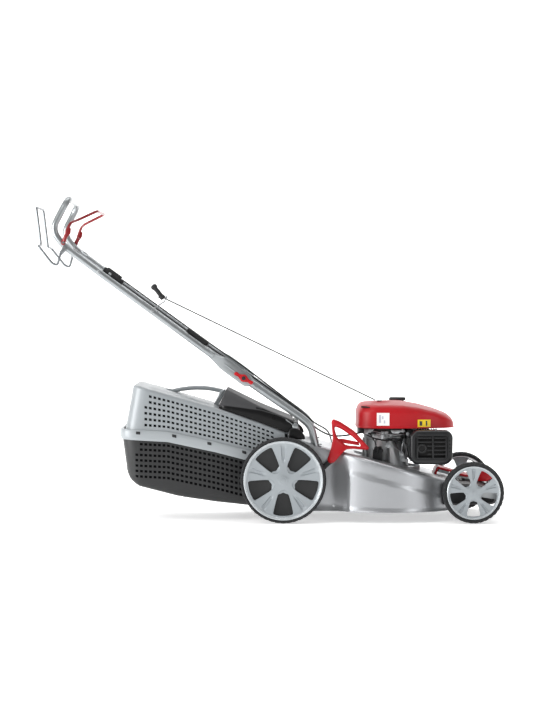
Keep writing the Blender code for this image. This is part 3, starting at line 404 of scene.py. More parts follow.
# Zinc-plated steel: dull white metal with a faint cloudy passivation.
ZINC = finish_of("zinc_plated_steel", "a3a6a8", 0.32, 1.0, 0.8, 0.12, 0.12)


def hex_head(centre, side_y, side, across=0.006, height=0.0045):
    """A flanged hexagon head on a plane facing sideways."""
    angles = np.radians(np.arange(0, 360, 60))
    hexagon = np.stack([centre[0] + across * np.cos(angles), centre[1] + across * np.sin(angles)], 1)
    flange = turned([(across * 1.3, side_y), (across * 1.3, side_y + side * 0.001),
                     (across * 1.05, side_y + side * 0.0014)], "Y", centre, sides=24)
    return [slab(rounded(hexagon, 0.0008, 3), "Y", side_y, side_y + side * height, 0.0006), flange]


bolts = []
for side in (-1, 1):
    bolts += hex_head((0.2095, 0.053), side * 0.1848, side)
shape("deck_side_bolts", bolts, ZINC, "chassis")

# ==== Front apron and carry handle ============================================================
# A moulded black nose between the front wheels, open below, that carries the front shaft; over
# it a red moulded bow to lift the mower by, screwed to the deck.
# Black moulding: matt, its fine grain breaking up the highlights.
BLACK_MOULDING = finish_of("black_grained_moulding", "111214", 0.48, 0.0, 0.9, 0.25, 0.22)
apron_side = rounded([(0.605, 0.052), (0.742, 0.056), (0.748, 0.080), (0.742, 0.100),
                      (0.690, 0.121), (0.605, 0.127)], 0.012)
apron_rows = []
for y in np.concatenate([np.linspace(-0.184, -0.176, 5), np.linspace(-0.17, 0.17, 30),
                         np.linspace(0.176, 0.184, 5)]):
    back = max(DECK_AXIS + math.sqrt(max(0.2545 ** 2 - y * y, 0)), 0.560)
    squeeze = offset(apron_side, 0.006 * smoothstep(0.176, 0.184, abs(y)))
    x = back + (squeeze[:, 0] - 0.605) * (0.748 - back) / (0.748 - 0.605)
    rib = 0.0015 * (np.abs(((y / 0.030) % 1) - 0.5) < 0.06) * (squeeze[:, 1] > 0.06)
    apron_rows.append(np.stack([x, np.full(len(x), y), squeeze[:, 1] - rib], 1))
shape("front_apron_skin", [lofted(apron_rows, ends="flat")], BLACK_MOULDING, "chassis",
      ["front_apron"])

# Red moulding: a deep even colour under a soft sheen.
RED_GLOSS = finish_of("red_gloss_moulding", "ab0a16", 0.40, 0.0, 1.6, 0.06, 0.10, 0.0, 0.12, 0.35)
bow_top = rounded([(0.548, 0.1465), (0.556, 0.1720), (0.600, 0.1610), (0.652, 0.1430),
                   (0.680, 0.1445), (0.705, 0.1560), (0.735, 0.1560), (0.748, 0.1350),
                   (0.7435, 0.1015)], 0.012, 5, closed=False)
bow_top = resampled(bow_top, 60, closed=False)
along_bow = unit(np.gradient(bow_top, axis=0))
down = np.stack([along_bow[:, 1], -along_bow[:, 0]], axis=1)
section = rounded([(-0.055, 0.0), (0.055, 0.0), (0.055, 0.008), (-0.055, 0.008)], 0.003, 4)
bow_rows = []
for here, into in zip(bow_top, down):
    flat = here[None, :] + into[None, :] * section[:, 1:]
    bow_rows.append(np.stack([flat[:, 0], section[:, 0], flat[:, 1]], 1))
cheek = rounded([(0.674, 0.142), (0.700, 0.158), (0.730, 0.158), (0.742, 0.132), (0.722, 0.120),
                 (0.684, 0.124)], 0.006)
cheeks = [slab(cheek, "Y", side * 0.0505, side * 0.0548, 0.001, 3) for side in (-1, 1)]
shape("front_bow", [lofted(bow_rows, ends="flat")] + cheeks, RED_GLOSS, "chassis",
      ["front_carry_handle"])

# ==== Engine cover ============================================================================
# One deep red moulding over the blower, the tank and the starter: a flat-crowned dome that
# falls forward to a blunt nose, screwed to the engine round its lower rim.


def mirrored(half):
    """A path followed by its mirror image, y turned to -y, in reverse order."""
    return half + [(p[0], -p[1], *p[2:]) for p in reversed(half)]


COVER_BASE = 0.303
CROWN_FALL = 0.62
FLANK, DOME = 0.66, 0.34
FLANK_DRAW, DOME_DRAW = 0.012, 0.135
FUEL_CAP = (0.432, 0.090)
crown_line = np.array([(0.287, 0.374), (0.297, 0.381), (0.315, 0.386), (0.350, 0.3890),
                       (0.400, 0.3895), (0.440, 0.3880), (0.490, 0.3800), (0.545, 0.3650),
                       (0.585, 0.3500), (0.606, 0.3360), (0.6155, 0.3200)])
cover_plan = [(0.288, -0.070), (0.296, -0.118), (0.330, -0.146), (0.420, -0.149),
              (0.510, -0.141), (0.575, -0.121), (0.608, -0.080), (0.6155, -0.030)]
cover_plan = resampled(rounded(mirrored(cover_plan), 0.03, 6), 220)
spine = np.array([0.43, 0.0])


def cover_row(inward, share):
    """A loop round the cover: the plan drawn in toward the spine, at a share of the local height,
    z = base + (crown(x) - base) share, the crown falling off to the sides by CROWN_FALL y^2."""
    flat = spine + (cover_plan - spine) * inward
    top_z = height_on(crown_line, flat[:, 0]) - CROWN_FALL * flat[:, 1] ** 2
    z = COVER_BASE + (top_z - COVER_BASE) * share
    return np.column_stack([flat, z])


cover_rows = [cover_row(0.975, 0.03), cover_row(0.976, 0.0), cover_row(0.998, 0.0),
              cover_row(1.004, 0.012), cover_row(1.004, 0.05), cover_row(1.0, 0.065)]
cover_rows += [cover_row(1 - FLANK_DRAW * s, s) for s in np.linspace(0.12, FLANK, 10)]
for a in np.linspace(0.08, 1, 16):
    cover_rows.append(cover_row(0.992 - DOME_DRAW * (1 - math.cos(a * math.pi / 2)),
                                FLANK + DOME * math.sin(a * math.pi / 2)))
cover_rows += [cover_row(s, 1.0) for s in (0.80, 0.72, 0.62, 0.50, 0.38, 0.25, 0.12, 0.03)]
cover_rows = np.array(cover_rows)
well = np.hypot(cover_rows[:, :, 0] - FUEL_CAP[0], cover_rows[:, :, 1] - FUEL_CAP[1])
cover_rows[:, :, 2] += 0.0015 * smoothstep(0.042, 0.034, well) * (cover_rows[:, :, 2] > 0.36)
spout = np.hypot((cover_rows[:, :, 0] - 0.372) / 1.6, cover_rows[:, :, 1] + 0.060)
cover_rows[:, :, 2] += 0.0055 * smoothstep(0.022, 0.009, spout) * (cover_rows[:, :, 2] > 0.36)
shape("engine_cover", [lofted(cover_rows)], RED_GLOSS, "chassis", ["blower_housing"])

# Rope outlet: a black bushing in the crown.
shape("rope_bushing", [turned([(0.0040, 0.391), (0.0085, 0.3925), (0.0110, 0.3915),
                               (0.0120, 0.3850), (0.0040, 0.3850)], "Z", (0.366, -0.060),
                              sides=32, ring=True)], BLACK_MOULDING, "chassis")

# Stickers: plain printed vinyl with generic blocks, no words and no symbols of anyone's.
VINYL = finish_of("white_vinyl", "eeeeec", 0.35, 0.0, 2.0, 0.02, 0.02)
YELLOW_VINYL = finish_of("yellow_vinyl", "f2d011", 0.35, 0.0, 2.0, 0.02, 0.02)
INK = finish_of("printed_ink", "3a3a3a", 0.5, 0.0, 2.0, 0.02, 0.05)


def cover_skin(x, z):
    """How far out the cover's right flank stands at a point of its side view."""
    bases = cover_plan[cover_plan[:, 1] < -0.02]
    order = np.argsort(bases[:, 0])
    half = np.interp(x, bases[order, 0], bases[order, 1])
    top_z = height_on(crown_line, x) - CROWN_FALL * half ** 2
    share = (z - COVER_BASE) / (top_z - COVER_BASE)
    over = np.clip((share - FLANK) / DOME, 0, 1)
    draw = np.where(share < FLANK, 1 - FLANK_DRAW * share,
                    0.992 - DOME_DRAW * (1 - np.sqrt(np.maximum(1 - over ** 2, 0))))
    return half * draw


def sticker(name, x0, x1, z0, z1, material, lift_off):
    """A thin sheet following the cover's flank between two x and two z."""
    xs, zs = np.meshgrid(np.linspace(x0, x1, 12), np.linspace(z0, z1, 8), indexing="ij")
    front = np.stack([xs, cover_skin(xs, zs) - lift_off, zs], 2)
    back = front.copy()
    back[:, :, 1] += 0.004
    rows = [np.concatenate([front[i], back[i][::-1]]) for i in range(12)]
    shape(name, [lofted(rows, ends="flat")], material, "chassis")


sticker("sticker_white", 0.352, 0.3935, 0.3125, 0.3545, VINYL, 0.0006)
for i, (x0, x1, z0, z1) in enumerate(((0.359, 0.366, 0.322, 0.348), (0.369, 0.374, 0.334, 0.344),
                                      (0.375, 0.3795, 0.320, 0.330))):
    sticker("sticker_mark_%d" % i, x0, x1, z0, z1,
            finish_of("pale_ink_%d" % i, "b9bac6", 0.5, 0.0, 2.0, 0.02, 0.05), 0.0009)
# Not vinyl: a near-black strip on the flank that is painted shade inside a slot of the cover.
sticker("cover_slot_shade", 0.302, 0.330, 0.3700, 0.3755, finish_of("slot_shadow", "2a0406", 0.8),
        0.0004)
sticker("sticker_yellow", 0.487, 0.530, 0.3080, 0.3320, YELLOW_VINYL, 0.0006)
sticker("sticker_bar_left", 0.4930, 0.5020, 0.3120, 0.3270, INK, 0.0009)
sticker("sticker_bar_right", 0.5140, 0.5190, 0.3115, 0.3285, INK, 0.0009)

# Fuel cap: black moulded screw cap with finger ribs round its rim.
angles = np.linspace(0, 2 * math.pi, 96, endpoint=False)
ribs = 1 - 0.035 * (np.cos(angles * 24) > 0.2)
cap_rows = []
for radius, z in ((0.0215, 0.3760), (0.0215, 0.3848), (0.0230, 0.3850), (0.0275, 0.3860),
                  (0.0282, 0.3880), (0.0282, 0.3935), (0.0270, 0.3955), (0.0245, 0.3964),
                  (0.0120, 0.3966), (0.0040, 0.3966)):
    r = radius * (ribs if 0.026 < radius else np.ones(96))
    cap_rows.append(lift(np.stack([FUEL_CAP[0] + r * np.cos(angles),
                                   FUEL_CAP[1] + r * np.sin(angles)], 1), "Z", z))
shape("fuel_cap_ribbed", [lofted(cap_rows)], BLACK_MOULDING, "fuel_cap", ["fuel_cap"])

# ==== Engine ==================================================================================
# Die-cast aluminium crankcase and finned cylinder, with the throttle rods, springs and brackets
# that crowd the gap under the cover.
# Die-cast aluminium is grey and dull; the hot steel is nearly black, darker still as painted shade between
# the guard's louvres; enamel has a satin line.
CASTING = finish_of("die_cast_aluminium", "a9abac", 0.42, 0.85, 1.2, 0.5, 0.16)
SILENCER_STEEL_AND_SHADE = finish_of("heat_stained_steel_and_shade", "0e0d0d", 0.60, 0.4, 1.0, 0.3, 0.3)
SATIN_BLACK = finish_of("satin_black_enamel", "141517", 0.36, 0.1, 1.2, 0.15, 0.2)


def tube(path, radius, sides=16):
    """A swept circle P(i, j) = path(i) + r (cos t N + sin t B), with rounded tips."""
    path = np.asarray(path, float)
    radii = np.broadcast_to(np.asarray(radius, float), (len(path),)).copy()
    head = unit(np.gradient(path, axis=0))
    normal = np.cross(head[0], (0, 1, 0))
    if np.linalg.norm(normal) < 0.3:
        normal = np.cross(head[0], (1, 0, 0))
    rows = []
    angles = np.linspace(0, 2 * math.pi, sides, endpoint=False)
    for i, here in enumerate(path):
        normal = normal - head[i] * np.dot(normal, head[i])
        normal = normal / np.linalg.norm(normal)
        side = np.cross(head[i], normal)
        ring = np.cos(angles)[:, None] * normal + np.sin(angles)[:, None] * side
        rows.append((here, ring, radii[i]))
    out = []
    for a in (0.35, 0.8, 1.2):
        here, ring, r = rows[0]
        out.append(here - head[0] * r * 0.35 * math.cos(a) + ring * r * math.sin(a))
    out += [here + ring * r for here, ring, r in rows]
    for a in (1.2, 0.8, 0.35):
        here, ring, r = rows[-1]
        out.append(here + head[-1] * r * 0.35 * math.cos(a) + ring * r * math.sin(a))
    return lofted(out)


def bent(points, bend, steps=5):
    """A 3-D polyline with rounded corners, its long runs cut into short steps."""
    line = rounded(points, bend, steps, closed=False)
    out = [line[0]]
    for a, b in zip(line, line[1:]):
        pieces = max(int(np.linalg.norm(b - a) / 0.03), 1)
        out += [a + (b - a) * (k + 1) / pieces for k in range(pieces)]
    return np.array(out)


def box(x0, x1, y0, y1, z0, z1, edge=0.0015):
    """A block with softened edges, pushed up along Z."""
    plan_of = rounded([(x0, y0), (x1, y0), (x1, y1), (x0, y1)], min(edge * 2, 0.004), 3)
    return slab(plan_of, "Z", z0, z1, edge, 3)


AXIS = (DECK_AXIS, 0.0)
OIL_FILLER = (0.360, -0.090)
case = [
    turned([(0.0130, 0.1655), (0.0780, 0.1655), (0.0790, 0.1670), (0.0790, 0.1900),
            (0.0765, 0.1925), (0.0715, 0.1940), (0.0700, 0.1980), (0.0690, 0.2600),
            (0.0720, 0.2640), (0.0720, 0.2780), (0.0700, 0.2800), (0.0140, 0.2800)],
           "Z", AXIS, sides=72),
    turned([(0.0120, 0.1700), (0.0120, 0.2140), (0.0140, 0.2160), (0.0140, 0.2222),
            (0.0100, 0.2222)], "Z", OIL_FILLER, sides=28),
    box(0.345, 0.375, -0.092, -0.060, 0.172, 0.195, 0.003),
    box(0.318, 0.332, -0.090, 0.090, 0.166, 0.174, 0.002),
]
for a in range(0, 360, 30):
    u = np.array([math.cos(math.radians(a)), math.sin(math.radians(a))])
    v = np.array([-u[1], u[0]])
    foot = np.array(AXIS)
    web = [foot + u * 0.066 - v * 0.002, foot + u * 0.0755 - v * 0.002, foot + u * 0.0755 + v * 0.002,
           foot + u * 0.066 + v * 0.002]
    case.append(slab(rounded(web, 0.001, 2), "Z", 0.191, 0.265, 0.0008, 3))
for a in range(15, 360, 60):
    spot = (AXIS[0] + 0.0735 * math.cos(math.radians(a)), 0.0735 * math.sin(math.radians(a)))
    case.append(turned([(0.0055, 0.186), (0.0055, 0.200), (0.0045, 0.2012)], "Z", spot, sides=16))
shape("crankcase_casting", case, CASTING, "chassis", ["crankcase"], sharp=30)

fins = [box(0.462, 0.560, -0.045, 0.045, 0.196, 0.284, 0.003)]
for x in np.linspace(0.470, 0.553, 11):
    fins.append(box(x - 0.0011, x + 0.0011, -0.058, 0.058, 0.188, 0.292, 0.0009))
fins.append(box(0.556, 0.563, -0.052, 0.052, 0.192, 0.288, 0.003))
for y, z in ((-0.042, 0.200), (0.042, 0.200), (-0.042, 0.280), (0.042, 0.280)):
    fins.append(turned([(0.0062, 0.5625), (0.0062, 0.5680), (0.0050, 0.5695)], "X", (y, z), sides=6))
shape("finned_cylinder", fins, CASTING, "chassis", ["cylinder_block"], sharp=30)

clutter = []
RODS = (
    ([(0.352, -0.118, 0.283), (0.388, -0.132, 0.284), (0.412, -0.133, 0.280), (0.440, -0.128, 0.283),
      (0.458, -0.118, 0.282)], 0.0019),
    ([(0.370, -0.120, 0.270), (0.398, -0.126, 0.274), (0.432, -0.126, 0.272)], 0.0013),
    ([(0.371, -0.116, 0.262), (0.396, -0.120, 0.249), (0.432, -0.120, 0.226), (0.437, -0.118, 0.205)],
     0.0011),
    ([(0.366, -0.112, 0.268), (0.372, -0.118, 0.252), (0.392, -0.118, 0.238)], 0.0010),
    ([(0.318, -0.100, 0.289), (0.345, -0.112, 0.292), (0.372, -0.120, 0.286)], 0.0013),
    ([(0.432, -0.110, 0.206), (0.438, -0.114, 0.246), (0.445, -0.112, 0.268)], 0.0018),
    ([(0.449, -0.104, 0.200), (0.452, -0.108, 0.232), (0.444, -0.110, 0.256)], 0.0012),
)
for path, radius in RODS:
    clutter.append(tube(bent(path, 0.008), radius, 10))
spring_path = []
for t in np.linspace(0, 1, 200):
    base = np.array([0.376, -0.124, 0.278]) * (1 - t) + np.array([0.404, -0.128, 0.278]) * t
    phase = t * 2 * math.pi * 13
    spring_path.append(base + np.array([0.0, 0.0026 * math.sin(phase), 0.0026 * math.cos(phase)]))
clutter.append(tube(spring_path, 0.0006, 5))
for flat, y in (
    ([(0.366, 0.292), (0.392, 0.292), (0.389, 0.281), (0.377, 0.279), (0.374, 0.266), (0.366, 0.266)],
     -0.1205),
    ([(0.398, 0.298), (0.446, 0.298), (0.446, 0.291), (0.430, 0.290), (0.424, 0.284), (0.404, 0.286)],
     -0.1235),
    ([(0.312, 0.299), (0.344, 0.299), (0.340, 0.291), (0.326, 0.288), (0.322, 0.280), (0.312, 0.282)],
     -0.1060),
    ([(0.426, 0.226), (0.441, 0.226), (0.448, 0.206), (0.446, 0.190), (0.432, 0.190), (0.430, 0.208)],
     -0.1080),
    ([(0.384, 0.252), (0.396, 0.256), (0.400, 0.246), (0.392, 0.236), (0.384, 0.240)], -0.1180),
):
    clutter.append(slab(rounded(flat, 0.002, 3), "Y", y, y - 0.0018, 0.0005, 3))
for x, z in ((0.371, 0.286), (0.384, 0.287), (0.410, 0.292), (0.438, 0.294), (0.330, 0.294),
             (0.437, 0.216), (0.441, 0.198), (0.390, 0.246), (0.398, 0.279), (0.455, 0.284)):
    clutter.append(turned([(0.0040, -0.1215), (0.0040, -0.1290), (0.0030, -0.1300)], "Y", (x, z),
                          sides=6))
    clutter.append(turned([(0.0056, -0.1210), (0.0056, -0.1248)], "Y", (x, z), sides=20))
for x in (0.452, 0.470):
    clutter.append(turned([(0.0050, -0.062), (0.0050, -0.104), (0.0040, -0.106)], "Y", (x, 0.196),
                          sides=6))
shape("throttle_rods", clutter, ZINC, "chassis", sharp=30)

# The cast breather boss flares down from the governor to the crankcase foot; bright, as die-cast.
boss = []
for t in np.linspace(0, 1, 14):
    centre_x, centre_z = 0.402 + 0.020 * t, 0.262 - 0.090 * t
    wide, deep = 0.013 + 0.021 * t ** 1.3, 0.022 + 0.010 * t
    loop = []
    for a in np.linspace(0, 2 * math.pi, 40, endpoint=False):
        fluted = 1 + 0.035 * math.cos(8 * a)
        loop.append((centre_x + wide * fluted * math.cos(a), -0.084 + deep * fluted * math.sin(a),
                     centre_z))
    boss.append(loop)
shape("breather_boss", [lofted(boss)], CASTING, "chassis", sharp=60)

dark_bits = [
    turned([(0.060, 0.2815), (0.098, 0.2815), (0.100, 0.2840), (0.100, 0.2990), (0.060, 0.2996)],
           "Z", (DECK_AXIS + 0.006, 0.0), sides=72),
    box(0.340, 0.372, -0.106, -0.100, 0.186, 0.232, 0.003),
    box(0.345, 0.360, -0.110, -0.100, 0.222, 0.240, 0.003),
    box(0.404, 0.416, -0.122, -0.100, 0.262, 0.272, 0.002),
    box(0.452, 0.470, -0.118, -0.060, 0.270, 0.298, 0.002),
    tube(bent([(0.300, -0.095, 0.290), (0.340, -0.118, 0.270), (0.380, -0.126, 0.262),
               (0.430, -0.116, 0.262), (0.452, -0.100, 0.250)], 0.012), 0.0022, 10),
    tube(bent([(0.330, -0.100, 0.286), (0.350, -0.118, 0.252), (0.352, -0.112, 0.226)], 0.010),
         0.0018, 10),
]
shape("intake_and_baffle", dark_bits, SATIN_BLACK, "chassis")

# Silencer guard: pressed black sheet, its louvres in two columns round the exhaust hole.
GUARD_Y = -0.195
PIPE = (0.4985, 0.2400)
face = rounded([(0.4600, 0.2060), (0.4720, 0.1880), (0.5800, 0.1865), (0.5985, 0.2020),
                (0.6000, 0.2830), (0.5860, 0.2990), (0.4780, 0.2990), (0.4600, 0.2830)], 0.012, 6)
GUARD_STEPS = [(0.0, 0.062), (0.0, 0.012), (0.0008, 0.006), (0.0035, 0.0022), (0.0080, 0.0004),
               (0.0120, 0.0), (0.0150, 0.0), (0.0162, 0.0022), (0.0180, 0.0034)]
guard_rows = [lift(offset(face, inset), "Y", GUARD_Y + deep) for inset, deep in GUARD_STEPS]
back_rows = [lift(offset(face, inset + 0.0016), "Y", GUARD_Y + deep + 0.0014)
             for inset, deep in reversed(GUARD_STEPS)]
guard = [lofted(guard_rows + back_rows, ends="none", ring=True)]
slots_z = np.linspace(0.2100, 0.2770, 6)
for k, z in enumerate(slots_z):
    beside_pipe = 1 <= k <= 3
    for x0, x1 in (((0.5165 if beside_pipe else 0.4850), 0.5300), (0.5385, 0.5760)):
        guard.append(box(x0, x1, GUARD_Y + 0.0006, GUARD_Y + 0.0030, z - 0.0044, z + 0.0006, 0.0010))
for x in (0.4830, 0.5345, 0.5780):
    guard.append(box(x - 0.0026, x + 0.0026, GUARD_Y + 0.0012, GUARD_Y + 0.0034, 0.2030, 0.2835,
                     0.0010))
for z in (0.2040, 0.2830):
    guard.append(box(0.4820, 0.5790, GUARD_Y + 0.0012, GUARD_Y + 0.0034, z - 0.0026, z + 0.0026, 0.0010))
guard.append(turned([(0.0105, GUARD_Y + 0.004), (0.0105, GUARD_Y + 0.0004), (0.0125, GUARD_Y - 0.0006),
                     (0.0150, GUARD_Y + 0.0004), (0.0150, GUARD_Y + 0.004)], "Y", PIPE,
                    sides=40, ring=True))
# The exhaust mouth and the four square holes are filled with near-black blocks: painted shade in the
# openings.
mouth = turned([(0.0100, GUARD_Y + 0.0006), (0.0100, GUARD_Y + 0.0060)], "Y", PIPE,
               sides=32)
holes = [box(0.5868, 0.5912, GUARD_Y - 0.0003, GUARD_Y + 0.004, z - 0.0024, z + 0.0024, 0.0004)
         for z in (0.2300, 0.2420, 0.2540, 0.2660)]
shape("guard_hole_shade", holes + [mouth], finish_of("guard_shadow_gap", "050505", 0.9), "chassis")
shape("silencer_guard", guard, SATIN_BLACK, "chassis", ["muffler_guard"], sharp=50)
# The can's near-black is its steel and also painted shade: it is what shows between the guard's louvres.
can = [box(0.4750, 0.5850, -0.180, -0.110, 0.2050, 0.2820, 0.010),
       box(0.5000, 0.5300, -0.112, -0.0585, 0.2300, 0.2600, 0.002),
       turned([(0.0045, -0.175), (0.0075, -0.1915), (0.0085, -0.1925), (0.0095, -0.1915),
               (0.0100, -0.170)], "Y", PIPE, sides=32)]
shape("silencer_can", can, SILENCER_STEEL_AND_SHADE, "chassis", ["muffler"])
guard_bolts = []
for spot in ((0.4900, 0.2920), (0.5900, 0.2750), (0.5450, 0.3010), (0.5500, 0.1850)):
    guard_bolts.append(turned([(0.0040, -0.170), (0.0045, -0.1750), (0.0030, -0.1775)], "Y", spot,
                              sides=6))
shape("guard_bolts", guard_bolts, ZINC, "chassis")
cap_oil = [turned([(0.0145, 0.2225), (0.0150, 0.2240), (0.0150, 0.2300), (0.0140, 0.2312),
                   (0.0060, 0.2314)], "Z", OIL_FILLER, sides=40),
           box(0.3490, 0.3710, -0.0940, -0.0860, 0.2305, 0.2400, 0.0015)]
shape("oil_filler_cap", cap_oil, BLACK_MOULDING, "oil_cap", ["oil_cap"])

# ==== Wheels ==================================================================================
# Four wheels: a grooved rubber tyre on a silver-painted moulded rim with five flaring spokes.
# The rear wheels are the larger, and a black disc closes them behind the spokes.
FRONT_AXLE = (0.662, 0.100, 0.100)
REAR_AXLE = (0.0435, 0.140, 0.140)
WHEEL_FACE, TYRE_MIDDLE = 0.265, 0.24
# Tyre rubber takes no sharp highlight; painted rims are pale; the disc reads as shade.
RUBBER = finish_of("tread_rubber", "1a1b1d", 0.78, 0.0, 1.4, 0.35, 0.25)
RIM_SILVER = finish_of("silver_painted_rim", "979da1", 0.38, 0.30, 1.8, 0.08, 0.06, 0.2, 0.2)
RIM_BRIGHT = finish_of("bright_rim_lip", "bcc1c4", 0.26, 0.45, 1.8, 0.05, 0.04, 0.3, 0.1)
DISC_BLACK = finish_of("black_wheel_disc", "151617", 0.55, 0.0, 1.0, 0.25, 0.2)


def wheel_turned(profile, centre, side, sides=96, ring=False):
    """A profile of (radius, depth) pairs turned about the axle; depth is measured in from the
    wheel's outer face, y = side (WHEEL_FACE - depth)."""
    pairs = [(r, side * (WHEEL_FACE - depth)) for r, depth in profile]
    return turned(pairs, "Y", centre, sides=sides, ring=ring)


def tyre(centre, radius, rim, side, lugs):
    """Section loop (r, y) swept round the axle; where the lug wave is low the tread and shoulder
    drop by 3 mm, the two halves half a lug apart."""
    wall = radius - rim
    half = [(rim - 0.004, 0.0170), (rim - 0.001, 0.0205), (rim + 0.12 * wall, 0.0222),
            (rim + 0.35 * wall, 0.0243), (rim + 0.55 * wall, 0.0248), (rim + 0.72 * wall, 0.0242),
            (radius - 0.0050, 0.0236), (radius - 0.0022, 0.0215), (radius - 0.0008, 0.0185),
            (radius - 0.0002, 0.0110), (radius, 0.0085), (radius, 0.0040), (radius, 0.0008)]
    section = mirrored(half)
    rows = []
    count = lugs * 8
    for i in range(count):
        a = 2 * math.pi * i / count
        row = []
        for r, y in section:
            wave = (a * lugs / (2 * math.pi) + (0.5 if y < 0 else 0) + abs(y) * 14) % 1
            edge = smoothstep(radius - 0.0058, radius - 0.0030, r) * smoothstep(0.0025, 0.0050, abs(y))
            r = r - 0.0030 * edge * (wave < 0.33)
            row.append((centre[0] + r * math.cos(a), side * TYRE_MIDDLE + y,
                        centre[1] + r * math.sin(a)))
        rows.append(row)
    return lofted(rows, ends="none", ring=True)


def sector_loop(corners, counts):
    """A closed loop sampled a set number of times along each side, so that two loops match."""
    out = []
    for k, count in enumerate(counts):
        side_points = np.array(corners[k])
        out.append(resampled(side_points, count + 1, closed=False)[:-1])
    return np.concatenate(out)


def spoke_depth(r, turn_off, rim):
    """Depth of the spoke face: a 3 mm dish from rim to hub, 4 mm grooves down the spokes."""
    share = r / rim
    dish = 0.0035 + 0.0030 * np.sin(np.clip(share, 0, 1) * math.pi) - 0.0012 * (share < 0.12)
    along = smoothstep(0.44, 0.56, share) * smoothstep(0.91, 0.86, share)
    across = smoothstep(0.070, 0.040, np.abs(turn_off) * (1.25 - share * 0.4))
    return dish + 0.0042 * along * across


def spoked_face(centre, rim, side, thick):
    """Five sectors of spoke face, each stretched between its window's loop and the sector's own
    loop, with the window's walls, a raised tip at the hub and a flat back."""
    window = [(0.245, 0.022), (0.285, 0.100), (0.400, 0.150), (0.600, 0.202), (0.780, 0.244),
              (0.838, 0.254), (0.860, 0.222)]
    counts = (8, 22, 16, 22)
    half_turn = math.radians(36)
    right = [(rim * r, rim * w) for r, w in window]
    inner = [(rim * 0.245, -rim * 0.022), (rim * 0.240, 0), right[0]]
    arc = [(math.sqrt((rim * 0.886) ** 2 - w * w), w) for w in
           np.linspace(rim * 0.222, -rim * 0.222, 9)]
    hole = sector_loop([inner, right, [right[-1]] + arc[1:-1] + [(right[-1][0], -right[-1][1])],
                        [(r, -w) for r, w in reversed(right)]], counts)
    hole = (np.roll(hole, 1, axis=0) + 2 * hole + np.roll(hole, -1, axis=0)) / 4
    low, high = rim * 0.060, rim * 0.952
    angles_in = np.linspace(-half_turn, half_turn, 9)
    angles_out = np.linspace(half_turn, -half_turn, 17)
    bound = sector_loop([[(low * math.cos(a), low * math.sin(a)) for a in angles_in],
                         [(r * math.cos(half_turn), r * math.sin(half_turn))
                          for r in np.linspace(low, high, 23)],
                         [(high * math.cos(a), high * math.sin(a)) for a in angles_out],
                         [(r * math.cos(half_turn), -r * math.sin(half_turn))
                          for r in np.linspace(high, low, 23)]], counts)
    tip = np.clip((0.36 - hole[:, 0] / rim) / 0.09, 0, 1)
    sill = hole.copy()
    sill[:, 0] += rim * 0.065 * tip
    sill[:, 1] *= 1 + 0.10 * tip

    def row(flat, depth):
        """A loop as radius, angle and depth; the spoke face gives the depth if none is given."""
        radius = np.hypot(flat[:, 0], flat[:, 1])
        spin = np.arctan2(flat[:, 1], flat[:, 0])
        if depth is None:
            return radius, spin, spoke_depth(radius, half_turn - np.abs(spin), rim)
        return radius, spin, np.full(len(flat), depth)

    rows = [row(bound, thick), row(hole * 0.5 + bound * 0.5, thick), row(sill, thick),
            row(sill, thick * 0.75), row(hole * 0.9 + sill * 0.1, 0.0085)]
    for share in (0.0, 0.035, 0.10, 0.22, 0.36, 0.50, 0.64, 0.76, 0.86, 0.93, 0.975, 1.0):
        rows.append(row(hole * (1 - share) + bound * share, None))
    edge = rows[5]
    rows[5] = (edge[0], edge[1], edge[2] + 0.0012)
    sectors = []
    for k in range(5):
        turn_by = math.radians(-90 + 72 * k)
        loops = [np.stack([centre[0] + r * np.cos(a + turn_by), side * (WHEEL_FACE - d),
                           centre[1] + r * np.sin(a + turn_by)], axis=1) for r, a, d in rows]
        sectors.append(lofted(loops, ends="none"))
    hub = [wheel_turned([(rim * 0.0605, 0.0040), (rim * 0.058, 0.0032), (rim * 0.030, 0.0028),
                         (rim * 0.004, 0.0028)], centre, side, 40),
           wheel_turned([(rim * 0.062, 0.0060), (rim * 0.062, thick)], centre, side, 40)]
    return sectors, hub


WHEELS = (("front_right", FRONT_AXLE, -1), ("front_left", FRONT_AXLE, 1),
          ("rear_right", REAR_AXLE, -1), ("rear_left", REAR_AXLE, 1))
for label, (axle_x, axle_z, radius), side in WHEELS:
    front = label.startswith("front")
    body = "wheel_" + label
    centre = (axle_x, axle_z)
    rim = radius * (0.870 if front else 0.925)
    shape("tyre_rubber_" + label, [tyre(centre, radius, rim, side, 34 if front else 44)], RUBBER,
          body, ["tyre_" + label], sharp=25)
    sectors, hub = spoked_face(centre, rim, side, 0.014)
    shape("rim_spokes_" + label, sectors + hub, RIM_SILVER, body, ["rim_" + label],
          sharp=40, weld=2e-5)
    ring = [(rim * 0.925, 0.0040), (rim * 0.938, 0.0022), (rim * 0.952, 0.0022), (rim * 0.958, 0.0010),
            (rim * 0.966, 0.0002), (rim * 0.984, 0.0000), (rim * 0.996, 0.0008), (rim * 1.0, 0.0030),
            (rim * 1.0, 0.0460), (rim * 0.960, 0.0460), (rim * 0.930, 0.0300), (rim * 0.925, 0.0200)]
    shape("rim_lip_" + label, [wheel_turned(ring, centre, side, 120, ring=True)], RIM_BRIGHT,
          body, sharp=35)
    bearing = [(0.0080, 0.0140), (0.0170, 0.0145), (0.0180, 0.0160), (0.0180, 0.0480),
               (0.0160, 0.0490), (0.0080, 0.0490)]
    shape("wheel_bearing_" + label, [wheel_turned(bearing, centre, side, 40, ring=True)],
          DISC_BLACK, body)
    if not front:
        disc = [(0.0080, 0.0150), (rim * 0.30, 0.0150), (rim * 0.34, 0.0168), (rim * 0.80, 0.0168),
                (rim * 0.84, 0.0150), (rim * 0.945, 0.0150), (rim * 0.945, 0.0185),
                (rim * 0.30, 0.0185), (0.0080, 0.0185)]
        shape("wheel_disc_skin_" + label, [wheel_turned(disc, centre, side, 96, ring=True)],
              DISC_BLACK, body, ["wheel_disc_" + label])

